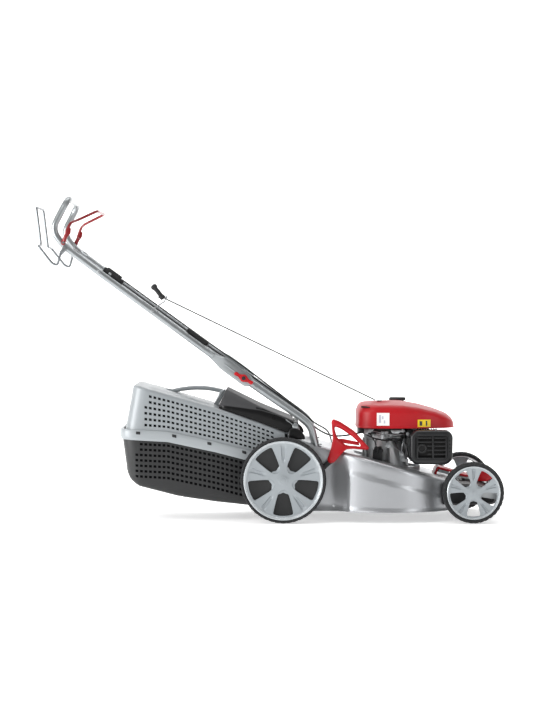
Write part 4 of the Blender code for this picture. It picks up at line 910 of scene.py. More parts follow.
# ==== Height lever ============================================================================
# A black steel stem from the rear crank, with a red moulded loop to grip; it springs into the
# notches of a plate on the deck's side.
# Black enamel on steel: a narrow soft highlight along the stem.
SATIN_STEEL = finish_of("black_enamelled_steel", "111213", 0.42, 0.3, 1.0, 0.15, 0.2)
stem = rounded([(0.108, 0.135), (0.123, 0.118), (0.206, 0.196), (0.193, 0.206)], 0.004, 4)
shape("lever_stem", [slab(stem, "Y", -0.2050, -0.1993, 0.0012),
                     turned([(0.0060, -0.2062), (0.0125, -0.2062), (0.0140, -0.2045),
                             (0.0140, -0.1990), (0.0060, -0.1990)], "Y", (0.1135, 0.125), sides=40,
                            ring=True)],
      SATIN_STEEL, "rear_crank", ["height_lever"])
loop = [(0.2005, 0.330), (0.207, 0.3385), (0.229, 0.330), (0.276, 0.299), (0.3245, 0.244),
        (0.322, 0.236), (0.266, 0.240), (0.238, 0.236), (0.230, 0.233), (0.211, 0.195),
        (0.196, 0.191), (0.186, 0.200), (0.199, 0.240), (0.206, 0.275), (0.202, 0.310)]
eye = [(0.2100, 0.314), (0.236, 0.303), (0.269, 0.280), (0.305, 0.247), (0.248, 0.252),
       (0.219, 0.278)]
outer = resampled(rounded(loop, 0.009, 6), 160)
inner = resampled(rounded(eye, 0.010, 6), 160)
start = int(np.argmin(np.hypot(*(inner - outer[0]).T)))
inner = np.roll(inner, -start, axis=0)
grip_rows = []
for t in np.linspace(0, 2 * math.pi, 20, endpoint=False):
    bulge = 0.5 + 0.5 * math.cos(t)
    bulge = bulge ** 0.8 if bulge > 0 else 0
    flat = inner + (outer - inner) * bulge
    y = -0.20125 + 0.01125 * np.sign(math.sin(t)) * abs(math.sin(t)) ** 0.7
    grip_rows.append(lift(flat, "Y", y))
web = [(0.203, 0.270), (0.236, 0.273), (0.290, 0.262), (0.294, 0.250), (0.240, 0.258), (0.207, 0.258)]
shape("lever_loop", [lofted(grip_rows, ends="none", ring=True),
                     slab(rounded(web, 0.003, 3), "Y", -0.1965, -0.1905, 0.001, 3)],
      RED_GLOSS, "rear_crank", ["height_lever_grip"], sharp=60)

# ==== Handle ==================================================================================
# Bright steel tube: two legs bolted to the deck, and over them a bent upper bow whose ends are
# pressed flat and clamped to the legs by a bolt with a red wing knob on each side.
# Lacquered steel tube: one long bright streak down each rail.
TUBE_SILVER = finish_of("lacquered_steel_tube", "989c9e", 0.30, 0.80, 1.6, 0.08, 0.10, 0.3, 0.15)
PIVOT = np.array([-0.086, 0.471])
RAIL_LOW = np.array([-0.190, 0.5475])
SLOPE = (PIVOT - RAIL_LOW) / np.linalg.norm(PIVOT - RAIL_LOW)
ACROSS = np.array([-SLOPE[1], SLOPE[0]])


def along_rail(reach, side_step=0.0):
    """A point (x, z) at a reach from the fold pivot down the rail's slope, stepped square to it."""
    return PIVOT + SLOPE * reach + ACROSS * side_step


def pressed(y, stations):
    """A round tube pressed flat: stations (reach, half height, half thickness, y), each ring the
    superellipse |a/h|^n + |b/t|^n = 1 whose n grows from 2, round, to 3, pressed."""
    rows = []
    angles = np.linspace(0, 2 * math.pi, 28, endpoint=False)
    for reach, high, thick, at in stations:
        power = 2 / (2 + max(0.0, 1 - thick / high))
        a = np.sign(np.cos(angles)) * np.abs(np.cos(angles)) ** power * high
        b = np.sign(np.sin(angles)) * np.abs(np.sin(angles)) ** power * thick
        flat = along_rail(reach)[None, :] + ACROSS[None, :] * a[:, None]
        rows.append(np.stack([flat[:, 0], y * (at + b), flat[:, 1]], axis=1))
    return lofted(rows)


RAIL_R = 0.011
bow_path = [(-0.185, -0.198, 0.5438), (-0.561, -0.198, 0.8190), (-0.677, -0.198, 0.9060),
            (-0.711, -0.198, 0.9570), (-0.660, -0.198, 1.0570)]
rails = [tube(bent(mirrored(bow_path), 0.045, 9), RAIL_R, 22)]
for side in (-1, 1):
    press = [(-0.150, RAIL_R, RAIL_R, 0.198), (-0.130, 0.0112, 0.0108, 0.1978),
             (-0.112, 0.0140, 0.0082, 0.1960), (-0.096, 0.0178, 0.0052, 0.1925),
             (-0.082, 0.0205, 0.0034, 0.1903), (-0.060, 0.0212, 0.0030, 0.1900),
             (0.000, 0.0212, 0.0030, 0.1900), (0.014, 0.0205, 0.0030, 0.1900),
             (0.022, 0.0180, 0.0030, 0.1900), (0.028, 0.0120, 0.0028, 0.1900),
             (0.0305, 0.0050, 0.0022, 0.1900)]
    rails.append(pressed(side, press))
    fold = [(-0.078, 0.0040, 0.0042, 0.1902), (-0.040, 0.0040, 0.0046, 0.1902),
            (-0.012, 0.0020, 0.0040, 0.1902)]
    rails.append(pressed(side, fold))
shape("upper_handle_bow", rails, TUBE_SILVER, "handle", ["upper_handle"], sharp=45)

for label, side in (("right", -1), ("left", 1)):
    y = side * 0.1725
    leg = bent([(0.1500, y, 0.2480), (0.1360, y, 0.3100), (0.1050, y, 0.3390),
                (-0.0960, y, 0.4780)], 0.034, 8)
    foot = [(0.1330, 0.2590), (0.1700, 0.2500), (0.1710, 0.2540), (0.1340, 0.2630)]
    parts = [tube(leg, 0.0125, 22),
             slab(rounded(foot, 0.002, 3), "Y", side * 0.1580, side * 0.1840, 0.001, 3),
             turned([(0.0045, side * 0.1830), (0.0052, side * 0.1860), (0.0035, side * 0.1868)],
                    "Y", tuple(along_rail(0.050)), sides=20)]
    shape("lower_leg_" + label, parts, TUBE_SILVER, "chassis", ["lower_handle_" + label],
          sharp=45)
    bolt = [turned([(0.0040, side * 0.1560), (0.0040, side * 0.2035), (0.0030, side * 0.2040)], "Y",
                   tuple(PIVOT), sides=24),
            turned([(0.0080, side * 0.1550), (0.0082, side * 0.1590)], "Y", tuple(PIVOT), sides=6),
            turned([(0.0095, side * 0.1843), (0.0095, side * 0.1865), (0.0040, side * 0.1868)], "Y",
                   tuple(PIVOT), sides=28)]
    shape("clamp_screw_" + label, bolt, ZINC, "chassis", ["clamp_bolt_" + label])
    lobes = [(0.0345, 0.0040), (0.0300, 0.0070), (0.0180, 0.0046), (0.0105, 0.0088), (0.0, 0.0108)]
    lobes += [(-reach, width) for reach, width in reversed(lobes[:-1])]
    wing = [along_rail(r, w + 0.0035 * (r / 0.0345)) for r, w in lobes]
    wing += [along_rail(r, -w + 0.0035 * (r / 0.0345)) for r, w in reversed(lobes)]
    knob = [slab(rounded(wing, 0.004, 4), "Y", side * 0.1940, side * 0.2045, 0.0028, 5),
            turned([(0.0122, side * 0.1937), (0.0122, side * 0.2040), (0.0105, side * 0.2058),
                    (0.0068, side * 0.2062), (0.0060, side * 0.2040), (0.0045, side * 0.2040)],
                   "Y", tuple(PIVOT), sides=40)]
    shape("wing_knob_" + label, knob, RED_GLOSS, "wing_" + label, ["clamp_wing_" + label])
    shape("wing_insert_" + label,
          [turned([(0.0060, side * 0.2042), (0.0068, side * 0.2060), (0.0064, side * 0.2074),
                   (0.0030, side * 0.2078)], "Y", tuple(PIVOT), sides=32)],
          BLACK_MOULDING, "wing_" + label)

# Rail bolts, a cable tie and the round-headed screws that hold the bails.
rail_bolts = []
for x, z in ((-0.5595, 0.8185), (-0.3842, 0.6905)):
    for side in (-1, 1):
        rail_bolts.append(turned([(0.0058, side * 0.2040), (0.0066, side * 0.2092),
                                  (0.0050, side * 0.2122), (0.0020, side * 0.2132)], "Y", (x, z),
                                 sides=28))
BRAKE_PIVOT, DRIVE_PIVOT = (-0.6735, 0.9136), (-0.6810, 0.8840)
for (x, z), tip in ((BRAKE_PIVOT, 0.2180), (DRIVE_PIVOT, 0.2190)):
    for side in (-1, 1):
        rail_bolts.append(turned([(0.0030, side * 0.1980), (0.0030, side * tip),
                                  (0.0042, side * tip), (0.0036, side * (tip + 0.0018))], "Y",
                                 (x, z), sides=24))
for side in (-1, 1):
    lug = [(-0.672, 0.908), (-0.690, 0.876), (-0.680, 0.872), (-0.660, 0.892)]
    rail_bolts.append(slab(rounded(lug, 0.005, 4), "Y", side * 0.1960, side * 0.2100, 0.001, 3))
shape("rail_fittings", rail_bolts, ZINC, "handle", sharp=35)

# ==== Bails ===================================================================================
# Two hand bails on the upper bow: the red one is held for the blade brake, the plain bent rod
# behind it drives the wheels.
# Enamelled bail: darker and glossier than the mouldings. Plated rod: plain grey metal.
RED_ENAMEL = finish_of("red_enamelled_steel", "800b13", 0.32, 0.2, 1.4, 0.08, 0.12, 0.25, 0.1)
ROD_STEEL = finish_of("zinc_plated_rod", "7f8386", 0.34, 0.9, 1.2, 0.10, 0.12)
brake_half = [(BRAKE_PIVOT[0], -0.2140, BRAKE_PIVOT[1]), (-0.6590, -0.2140, 0.9610),
              (-0.6500, -0.2060, 0.9790), (-0.6330, -0.1640, 0.9880), (-0.5680, -0.1500, 1.0190)]
brake_parts = [tube(bent(mirrored(brake_half), 0.018, 6), 0.0045, 16)]
for side in (-1, 1):
    strap = [(-0.6800, 0.9055), (-0.6700, 0.9055), (-0.6650, 0.9180), (-0.6610, 0.9300),
             (-0.6500, 0.9440), (-0.6480, 0.9600), (-0.6580, 0.9660), (-0.6660, 0.9520),
             (-0.6700, 0.9380), (-0.6800, 0.9200)]
    brake_parts.append(slab(rounded(strap, 0.004, 4), "Y", side * 0.2105, side * 0.2165, 0.0008, 3))
    for x, z in ((-0.6625, 0.9420), (-0.6580, 0.9560)):
        brake_parts.append(turned([(0.0018, side * 0.2160), (0.0036, side * 0.2172),
                                   (0.0030, side * 0.2176)], "Y", (x, z), sides=16, ring=True))
shape("brake_bail_rod", brake_parts, RED_ENAMEL, "brake_bail", ["brake_bail"])
drive_half = [(DRIVE_PIVOT[0], -0.2145, DRIVE_PIVOT[1]), (-0.6930, -0.2145, 0.8400),
              (-0.7100, -0.2145, 0.8460), (-0.7550, -0.2145, 0.9035),
              (-0.7570, -0.1100, 0.9075), (-0.7720, -0.1100, 1.0325)]
shape("drive_bail_rod", [tube(bent(mirrored(drive_half), 0.012, 6), 0.0038, 14)], ROD_STEEL,
      "drive_bail", ["drive_bail"])

# ==== Starter rope and grip ===================================================================
# Braided nylon, taut from the recoil starter in the cover to a black T-grip that rests on a wire
# hook on the rail. The stretch that a pull would draw out lies inside the part that shows.
# Nylon braid: dull, with a fine grain. Cable sheath: black with a thin highlight.
BRAID = finish_of("braided_nylon", "151517", 0.75, 0.0, 1.2, 0.25, 0.30)
CABLE_SHEATH = finish_of("black_cable_sheath", "121315", 0.38, 0.0, 1.0, 0.10, 0.1)
rope_out = np.array([0.3680, -0.0600, 0.3850])
rope_end = np.array([-0.3530, -0.1795, 0.7360])
PULL = (rope_end - rope_out) / np.linalg.norm(rope_end - rope_out)
rope_start = rope_out + PULL * 0.022
rope_line = [rope_start + (rope_end - rope_start) * t for t in np.linspace(0, 1, 81)]


rope = shape("starter_rope_braid", [tube(rope_line, 0.0020, 10)], BRAID, "", ["starter_rope"])
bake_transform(rope)
spare = [rope_end - PULL * 0.300 * t for t in np.linspace(1, 0.004, 24)]
shape("starter_rope_spare", [tube(spare, 0.0015, 8)], BRAID, "starter_grip")

LEAN = np.array([-0.62, 0.0, 0.78]) / math.hypot(0.62, 0.78)
grip_line = [rope_end + LEAN * t for t in np.linspace(-0.004, 0.040, 23)]
grip_radius = [0.0095 if t < 0.006 else 0.0074 + 0.0006 * (int(t * 1000 / 2.6) % 2)
               for t in np.linspace(-0.004, 0.040, 23)]
SIDE = np.array([LEAN[2], 0.0, -LEAN[0]])
top = rope_end + LEAN * 0.0425
grip_parts = [tube(grip_line, grip_radius, 20),
              tube([top + SIDE * t for t in np.linspace(-0.0085, 0.0085, 9)],
                   [0.0062, 0.0078, 0.0086, 0.0088, 0.0088, 0.0088, 0.0086, 0.0078, 0.0062], 18),
              tube([rope_end + PULL * 0.010, rope_end - PULL * 0.002, rope_end - PULL * 0.004],
                   [0.0080, 0.0062, 0.0040], 16)]
shape("starter_grip_moulding", grip_parts, BLACK_MOULDING, "starter_grip", ["starter_grip"])
hook = [(-0.3845, -0.1870, 0.6930), (-0.3800, -0.1740, 0.7000), (-0.3450, -0.1680, 0.7220),
        (-0.3410, -0.1700, 0.7370), (-0.3380, -0.1800, 0.7390), (-0.3400, -0.1870, 0.7280)]
shape("rope_hook", [tube(bent(hook, 0.006, 5), 0.0022, 12)], ZINC, "handle", ["rope_guide"])

# ==== Control cables ==========================================================================
# A black-sheathed cable from each bail: down the rail's inner side through a clip and a joining
# block, over the fold and into the engine (brake) or the gearbox (drive).
upper_run = [(-0.640, 0.890), (-0.561, 0.8345), (-0.200, 0.5725), (-0.086, 0.4950)]
brake_run = upper_run + [(0.020, 0.4200), (0.098, 0.3640), (0.150, 0.3040), (0.200, 0.2790)]
brake_route = [(x, -0.156, z) for x, z in brake_run]
brake_route += [(0.245, -0.1320, 0.2780), (0.2950, -0.1000, 0.2860), (0.3140, -0.0800, 0.2880)]
drive_run = upper_run + [(0.030, 0.4060), (0.098, 0.3540), (0.150, 0.3060), (0.198, 0.2800)]
drive_route = [(x, 0.156, z) for x, z in drive_run]
drive_route += [(0.2080, 0.1250, 0.2500), (0.2080, 0.1150, 0.2420)]
for name, route, bend, thick in (("brake_cable", brake_route, 0.060, 0.0028),
                                 ("drive_cable", drive_route, 0.020, 0.0026)):
    line = bent(route, bend, 7)
    side = -1 if name == "brake_cable" else 1
    bare = np.where(np.array(line)[:, 0] < -0.540, 0.0010, thick)
    cable = shape(name + "_sheath", [tube(line, bare, 12)], CABLE_SHEATH, "", [name])
    cable.data.materials.append(ZINC)
    for face in cable.data.polygons:
        face.material_index = int(face.center.x < -0.535)
    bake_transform(cable)
    wire = [(-0.640, side * 0.156, 0.890), (-0.645, side * 0.170, 0.915),
            (-0.6600, side * 0.200, 0.9420)]
    shape(name + "_wire", [tube(bent(wire, 0.006, 4), 0.0008, 8)], ZINC, "handle")
    ferrule = [np.array(line[0]) + (np.array(line[1]) - line[0]) * t for t in (-0.15, 0.4)]
    shape(name + "_ferrule", [tube(ferrule, 0.0040, 14)], ZINC, "handle")

(high_x, high_z), (low_x, low_z) = upper_run[1:3]
RUN = np.array([low_x - high_x, 0.0, low_z - high_z])
RUN /= np.linalg.norm(RUN)
NORMAL = np.array([-RUN[2], 0.0, RUN[0]])


def on_rail(x, y, off=0.0):
    """A point of the cables' upper run at x, stepped off square to it."""
    start = np.array([high_x, y, high_z])
    return start + RUN * ((x - high_x) / RUN[0]) + NORMAL * off


def rail_block(x0, x1, y0, y1, low, high, edge=0.0015):
    """A block lying along the rail between two x, two y and two heights off the cable line."""
    flat = [on_rail(x0, 0, low), on_rail(x1, 0, low), on_rail(x1, 0, high), on_rail(x0, 0, high)]
    return slab(rounded([(p[0], p[2]) for p in flat], 0.003, 3), "Y", y0, y1, edge, 3)


clip = [rail_block(-0.540, -0.495, -0.1867, -0.1610, -0.010, 0.019, 0.002),
        rail_block(-0.547, -0.536, -0.1860, -0.1620, -0.005, 0.014, 0.001),
        rail_block(-0.498, -0.484, -0.1850, -0.1640, -0.004, 0.012, 0.001),
        rail_block(-0.528, -0.504, -0.1885, -0.1600, 0.008, 0.0130, 0.001)]
shape("cable_clip_block", clip, BLACK_MOULDING, "handle", ["cable_clip"])
spot = on_rail(-0.526, 0, 0.003)
shape("cable_clip_screw", [turned([(0.0048, -0.1850), (0.0052, -0.1892), (0.0030, -0.1905)], "Y",
                                  (spot[0], spot[2]), sides=24)], ZINC, "handle")
sleeve = [on_rail(x, -0.172, 0.004) for x in np.linspace(-0.272, -0.208, 49)]
ribbed = [0.0095 + 0.0012 * (i % 2) for i in range(49)]
shape("cable_joint_sleeve", [tube(sleeve, ribbed, 20), rail_block(-0.268, -0.212, -0.1868, -0.1640,
                                                                  -0.006, 0.012)],
      BLACK_MOULDING, "handle", ["cable_block"])
shape("cable_tie", [rail_block(-0.160, -0.153, -0.1930, -0.1500, 0.0035, 0.0062, 0.0008)],
      BLACK_MOULDING, "handle")

# ==== Rear flap ===============================================================================
# A black moulded guard over the outlet: a gloss skirt, a matt ridged top that narrows upward, and
# a torsion spring round its steel rod that presses it down on the grass box.
# The flap is one black moulding: its upward faces are a lighter matt charcoal, painted light on the top
# that faces the lamps; its skirt is gloss black and catches the lamps.
FLAP_LIT_TOP = finish_of("flap_top_painted_light", "333335", 0.54, 0.0, 0.8, 0.20, 0.10)
FLAP_GLOSS = finish_of("gloss_black_moulding", "070708", 0.28, 0.0, 1.6, 0.05, 0.2, 0.0, 0.1, 0.35)
HINGE = (0.083, 0.312)
BOX_TOP = np.array([(-0.445, 0.4485), (-0.170, 0.3690), (-0.0326, 0.3220), (0.0544, 0.2880),
                    (0.0900, 0.2740)])
flap_x = np.concatenate([[-0.1690, -0.1650, -0.1600, -0.1540, -0.1470, -0.1440, -0.1380],
                         np.linspace(-0.13, 0.066, 22), [0.0720, 0.0760]])
flap_ridge = np.interp(flap_x, (-0.169, -0.1446, -0.030, 0.020, 0.066, 0.080),
                       (0.3765, 0.4310, 0.3735, 0.3530, 0.3340, 0.3270))
flap_edge = np.interp(flap_x, (-0.169, -0.1617, -0.030, 0.020, 0.066, 0.080),
                      (0.3760, 0.3815, 0.3640, 0.3490, 0.3290, 0.3230))
flap_foot = np.maximum(height_on(BOX_TOP, flap_x) + 0.0022,
                       np.interp(flap_x, (0.04, 0.08), (0.280, 0.3060)))
flap_half = 0.150 - 0.012 * smoothstep(-0.150, -0.169, flap_x)


def flap_rows(inward):
    """For each x an upturned U: foot, skirt edge, ridge and back down, drawn inward by a wall."""
    rows = []
    for x, ridge, edge, foot, half in zip(flap_x, flap_ridge, flap_edge, flap_foot, flap_half):
        crown = half - 0.75 * (ridge - edge) - 0.004
        side_line = [(half + 0.000, foot), (half, (foot + edge) / 2), (half, edge - 0.004),
                     (half - 0.001, edge - 0.001), (half - 0.004, edge + 0.0015),
                     ((half + crown) / 2, (ridge + edge) / 2), (crown + 0.004, ridge - 0.0022),
                     (crown, ridge), (crown - 0.006, ridge + 0.0012), (crown * 0.5, ridge + 0.0025)]
        side_line = [(y - inward * 0.0025, max(z - inward * 0.0025, foot) if k else z)
                     for k, (y, z) in enumerate(side_line)]
        loop = side_line + [(-y, z) for y, z in reversed(side_line)]
        rows.append([(x, y, z) for y, z in loop])
    return np.array(rows)


outer_flap, inner_flap = flap_rows(0), flap_rows(1)
flap_loops = np.concatenate([outer_flap, inner_flap[:, ::-1]], axis=1)
flap_skin = shape("flap_moulding",
                  [lofted(flap_loops, ends="flat"),
                   slab(rounded([(-0.1685, 0.371), (-0.1445, 0.4290), (-0.1415, 0.4270), (-0.1650, 0.371)],
                                0.001, 2), "Y", -0.104, 0.104, 0.0008, 3)],
                  FLAP_LIT_TOP, "rear_flap", ["rear_flap"], sharp=32)
# Faces turned up keep the lighter charcoal as painted light on the top; the skirt and the faces turned
# sideways or down take the gloss black.
flap_skin.data.materials.append(FLAP_GLOSS)
for face in flap_skin.data.polygons:
    if abs(face.normal.y) > 0.85 or face.normal.z < 0.15:
        face.material_index = 1
barrel = [turned([(0.0050, -0.150), (0.0108, -0.150), (0.0115, -0.149), (0.0115, 0.149),
                  (0.0108, 0.150), (0.0050, 0.150)], "Y", HINGE, sides=40, ring=True)]
for y in np.linspace(-0.135, 0.135, 7):
    barrel.append(turned([(0.0110, y - 0.004), (0.0122, y - 0.003), (0.0122, y + 0.003),
                          (0.0110, y + 0.004)], "Y", HINGE, sides=40, ring=True))
shape("flap_barrel", barrel, FLAP_GLOSS, "rear_flap")
rod = [turned([(0.0045, -0.1835), (0.0045, 0.1835)], "Y", HINGE, sides=20),
       turned([(0.0060, -0.1815), (0.0082, -0.1820), (0.0082, -0.1845), (0.0050, -0.1855)], "Y",
              HINGE, sides=24)]
shape("flap_rod", rod, ZINC, "chassis", ["flap_hinge_rod"])
coil = []
for t in np.linspace(0, 1, 170):
    a = -2.2 + t * 2 * math.pi * 6.5
    coil.append((HINGE[0] + 0.0080 * math.cos(a), -0.1545 - 0.0185 * t,
                 HINGE[1] + 0.0080 * math.sin(a)))
first, last = coil[0], coil[-1]
coil = [(0.052, -0.1535, 0.3330), (first[0] - 0.002, -0.1540, first[2] + 0.010)] + coil
coil += [(last[0] + 0.004, -0.1735, last[2] - 0.010), (0.094, -0.1735, 0.290)]
shape("torsion_spring", [tube(coil, 0.0013, 8)], ZINC, "chassis", ["flap_spring"])
dome = rounded([(0.061, 0.2715), (0.062, 0.3020), (0.080, 0.3090), (0.100, 0.3000), (0.113, 0.2850),
                (0.117, 0.2690)], 0.010, 5)
shape("outlet_cheeks", [slab(dome, "Y", side * 0.1808, side * 0.1868, 0.003, 5) for side in (-1, 1)],
      FLAP_GLOSS, "chassis")

# ==== Grass box ===============================================================================
# Two moulded shells clipped together at a flange: a pierced grey upper half and a pierced black
# lower half, closed at the back by round corners and open to the outlet, with a carrying arch.
# Silver-grey moulding: pale, with a faint metallic sheen; the lower shell is charcoal.
GREY_MOULDING = finish_of("silver_grey_moulding", "8f9497", 0.42, 0.10, 0.9, 0.20, 0.05, 0.15, 0.25)
FLANGE_GREY = finish_of("silver_grey_flange", "9a9fa2", 0.40, 0.10, 0.9, 0.20, 0.05, 0.15, 0.25)
LOWER_BLACK = finish_of("charcoal_moulding", "1b1c1d", 0.48, 0.0, 0.9, 0.25, 0.10)
SEAM = np.array([(-0.495, 0.3035), (-0.3358, 0.2940), (-0.1790, 0.2596), (-0.0726, 0.2315),
                 (0.0300, 0.2010), (0.0500, 0.1950)])
BAND = 0.033
PITCH = 0.0148
WALL = 0.0026
HALF_COUNT = 100
OFF_PANEL = 30.0


def pierced(material, rows_from, rows_to, first_x, depth=0.42):
    """Painted shade in the box's holes: near-black, unglossed slots where frac(u) and frac(v) of the
    panel map are near one half: u counts holes along, v counts rows."""
    tree = material.node_tree
    split = add(tree, "SeparateXYZ", {}, {0: add(tree, "UVMap", {"uv_map": "panel"}).outputs[0]})
    u, v = split.outputs["X"], split.outputs["Y"]
    mask = None
    for axis, half in ((u, 0.30), (v, 0.215)):
        near = math_node(tree, "ABSOLUTE", math_node(tree, "SUBTRACT",
                                                     math_node(tree, "FRACT", axis), 0.5))
        inside = math_node(tree, "LESS_THAN", near, half)
        mask = inside if mask is None else math_node(tree, "MULTIPLY", mask, inside)
    later = math_node(tree, "SUBTRACT", u, math_node(tree, "LESS_THAN", v, 2.0))
    for test, axis, limit in (("GREATER_THAN", v, rows_from), ("LESS_THAN", v, rows_to),
                              ("GREATER_THAN", later, first_x / PITCH),
                              ("LESS_THAN", u, 0.012 / PITCH)):
        mask = math_node(tree, "MULTIPLY", mask, math_node(tree, test, axis, limit))
    # Near-black with no gloss: painted shade for the inside of the box seen through its holes.
    paint_over(material, mask, "060607", 0.9)
    shader = tree.nodes["Principled BSDF"]
    solid = math_node(tree, "SUBTRACT", 1.0, mask)
    for name in ("Specular IOR Level", "Coat Weight"):
        socket = shader.inputs[name]
        tree.links.new(math_node(tree, "MULTIPLY", solid, socket.default_value), socket)
    grain = shader.inputs["Normal"].links[0].from_node
    sunk = add(tree, "Bump", {"Strength": depth, "Distance": 0.003, "invert": True},
               {"Height": mask, "Normal": grain.outputs[0]})
    tree.links.new(sunk.outputs[0], shader.inputs["Normal"])


def box_outline(rear, half_rear, half_front, corner=0.060):
    """The box's plan as an open U from the mouth's right to its left, with round rear corners."""
    u = [(0.048, -half_front), (-0.020, -half_front), (rear, -half_rear), (rear, half_rear),
         (-0.020, half_front), (0.048, half_front)]
    softened = rounded(u, [0, 0.05, corner, corner, 0.05, 0], 12, closed=False)
    return resampled(softened, 2 * HALF_COUNT, closed=False)


def pushed_in(line, amount):
    """An open plan line moved toward the box's middle, square to itself."""
    ahead = unit(np.gradient(line, axis=0))
    inward = np.stack([-ahead[:, 1], ahead[:, 0]], axis=1)
    middle = np.array([-0.2, 0.0])
    if np.sum(inward * (middle - line)) < 0:
        inward = -inward
    return line + inward * amount


def shell(levels, wall):
    """A wall round an open U: levels are (plan line, z, v row) from one rim to the other; the ring
    of each level runs round the outside and back round the inside."""
    rows, marks = [], []
    for line, z, v in levels:
        inner_line = pushed_in(line, wall)
        rows.append(np.concatenate([np.column_stack([line, z]),
                                    np.column_stack([inner_line, z])[::-1]]))
        u = np.concatenate([line[:, 0], line[::-1, 0]]) / PITCH
        marks.append(np.column_stack([u, np.concatenate([v, v[::-1]])]))
    return lofted(rows, ends="none"), np.concatenate(marks)


def rim_of(levels, wall, index):
    """The strip that closes a shell's rim at one level."""
    line, z, _ = levels[index]
    inner_line = pushed_in(line, wall)
    return lofted(np.stack([np.column_stack([line, z]), np.column_stack([inner_line, z])], axis=1),
                  around=False, ends="none")


def half_width(line, x):
    """Half the width of an open U at x, read from its right leg."""
    leg = line[:HALF_COUNT]
    order = np.argsort(leg[:, 0])
    return abs(np.interp(x, leg[order, 0], leg[order, 1]))


def capped(levels, cap_line, stations, count, height, thick):
    """A shell with both rims and a double-skinned cap: at each x a strip of count points across
    the cap line, height(x, ys, half) its outer z and z + thick its inner; with its panel map."""
    walls, marks = shell(levels, WALL)
    parts = [walls, rim_of(levels, WALL, 0), rim_of(levels, WALL, -1)]
    gap, middle, front, steps = stations
    rear = cap_line[:HALF_COUNT, 0].min() + gap
    rows = []
    for x in np.concatenate([np.linspace(rear, middle, 12),
                             np.linspace(middle + 0.01, front, steps)]):
        half = half_width(cap_line, x)
        ys = np.linspace(-half, half, count)
        z = height(x, ys, half)
        strip = np.column_stack([np.full(count, x), ys, z])
        rows.append(np.concatenate([strip, (strip + np.array([0, 0, thick]))[::-1]]))
    parts.append(lofted(rows, ends="flat"))
    extra = sum(len(p[0]) for p in parts) - len(marks)
    return parts, np.concatenate([marks, np.full((extra, 2), -OFF_PANEL)])


upper_levels = []
for share in [0.0] + list(np.linspace(0.05, 1, 14)):
    line = box_outline(-0.4765 + 0.0245 * share, 0.195 - 0.004 * share, 0.158 - 0.001 * share)
    low, high = height_on(SEAM, line[:, 0]), height_on(BOX_TOP, line[:, 0]) - 0.010
    z = low + (high - low) * share
    full = (height_on(BOX_TOP, line[:, 0]) - z) / (height_on(BOX_TOP, line[:, 0]) - low)
    upper_levels.append((line, z, (full - 0.102) / 0.139))
top_line = upper_levels[-1][0]
for a in np.linspace(0.25, math.pi / 2, 6):
    line = pushed_in(top_line, 0.010 * (1 - math.cos(a)))
    z = height_on(BOX_TOP, line[:, 0]) - 0.010 + 0.010 * math.sin(a)
    upper_levels.append((line, z, np.full(len(line), -3.0)))


def roof_height(x, ys, half):
    """The roof: a crown 3.5 mm (1 - (y/half)^2) high and a raised panel 3 mm above it."""
    crown = 0.0035 * (1 - (ys / max(half, 1e-4)) ** 2)
    raised = 0.0030 * smoothstep(0.112, 0.106, abs(ys)) * smoothstep(-0.405, -0.395, x) \
        * smoothstep(-0.185, -0.195, x)
    return height_on(BOX_TOP, x) + crown + raised


parts, marks = capped(upper_levels, pushed_in(top_line, 0.0095), (0.0008, -0.40, 0.047, 34), 26,
                      roof_height, -WALL)
pierced(GREY_MOULDING, 0.0, 6.0, -0.414)
shape("box_upper_skin", parts, GREY_MOULDING, "grass_box", ["box_upper_shell"],
      sharp=40, uv=marks)

flange_levels = []
for drop, grow in ((-0.0012, -0.0075), (-0.0012, -0.0010), (0.0, 0.0), (0.0100, 0.0004),
                   (0.0220, 0.0004), (BAND - 0.0015, 0.0), (BAND, -0.0010), (BAND, -0.0075)):
    line = box_outline(-0.4925 - grow, 0.2015 + grow, 0.1645 + grow, 0.066)
    flange_levels.append((line, height_on(SEAM, line[:, 0]) - drop, np.full(len(line), -3.0)))
band, _ = shell(flange_levels, 0.0015)
shape("box_flange", [band, rim_of(flange_levels, 0.0015, 0), rim_of(flange_levels, 0.0015, -1)],
      FLANGE_GREY, "grass_box", sharp=50)
clips = []
for x in (-0.4320, -0.3140, -0.1990, -0.0850):
    slope = (height_on(SEAM, x + 0.01) - height_on(SEAM, x - 0.01)) / 0.02
    half = half_width(flange_levels[3][0], x)
    middle = height_on(SEAM, x) - 0.0085
    for side in (-1, 1):
        for reach, low, high, corner, inside, outside in (
            (0.0070, -0.0048, 0.0048, 0.0015, 0.004, 0.0006),
            (0.0040, -0.0030, 0.0002, 0.001, 0.002, 0.0014),
        ):
            patch = [(x + dx, middle + dz + slope * dx)
                     for dx, dz in ((-reach, low), (reach, low), (reach, high), (-reach, high))]
            clips.append(slab(rounded(patch, corner, 3), "Y", side * (half - inside),
                              side * (half + outside), 0.0004, 3))
shape("box_clips", clips, BLACK_MOULDING, "grass_box")

KEEL = np.array([(-0.475, 0.1500), (-0.4600, 0.1330), (-0.4300, 0.1140), (-0.3040, 0.0810),
                 (-0.1790, 0.0620), (-0.0730, 0.0500), (-0.0180, 0.0482), (0.0500, 0.0482)])


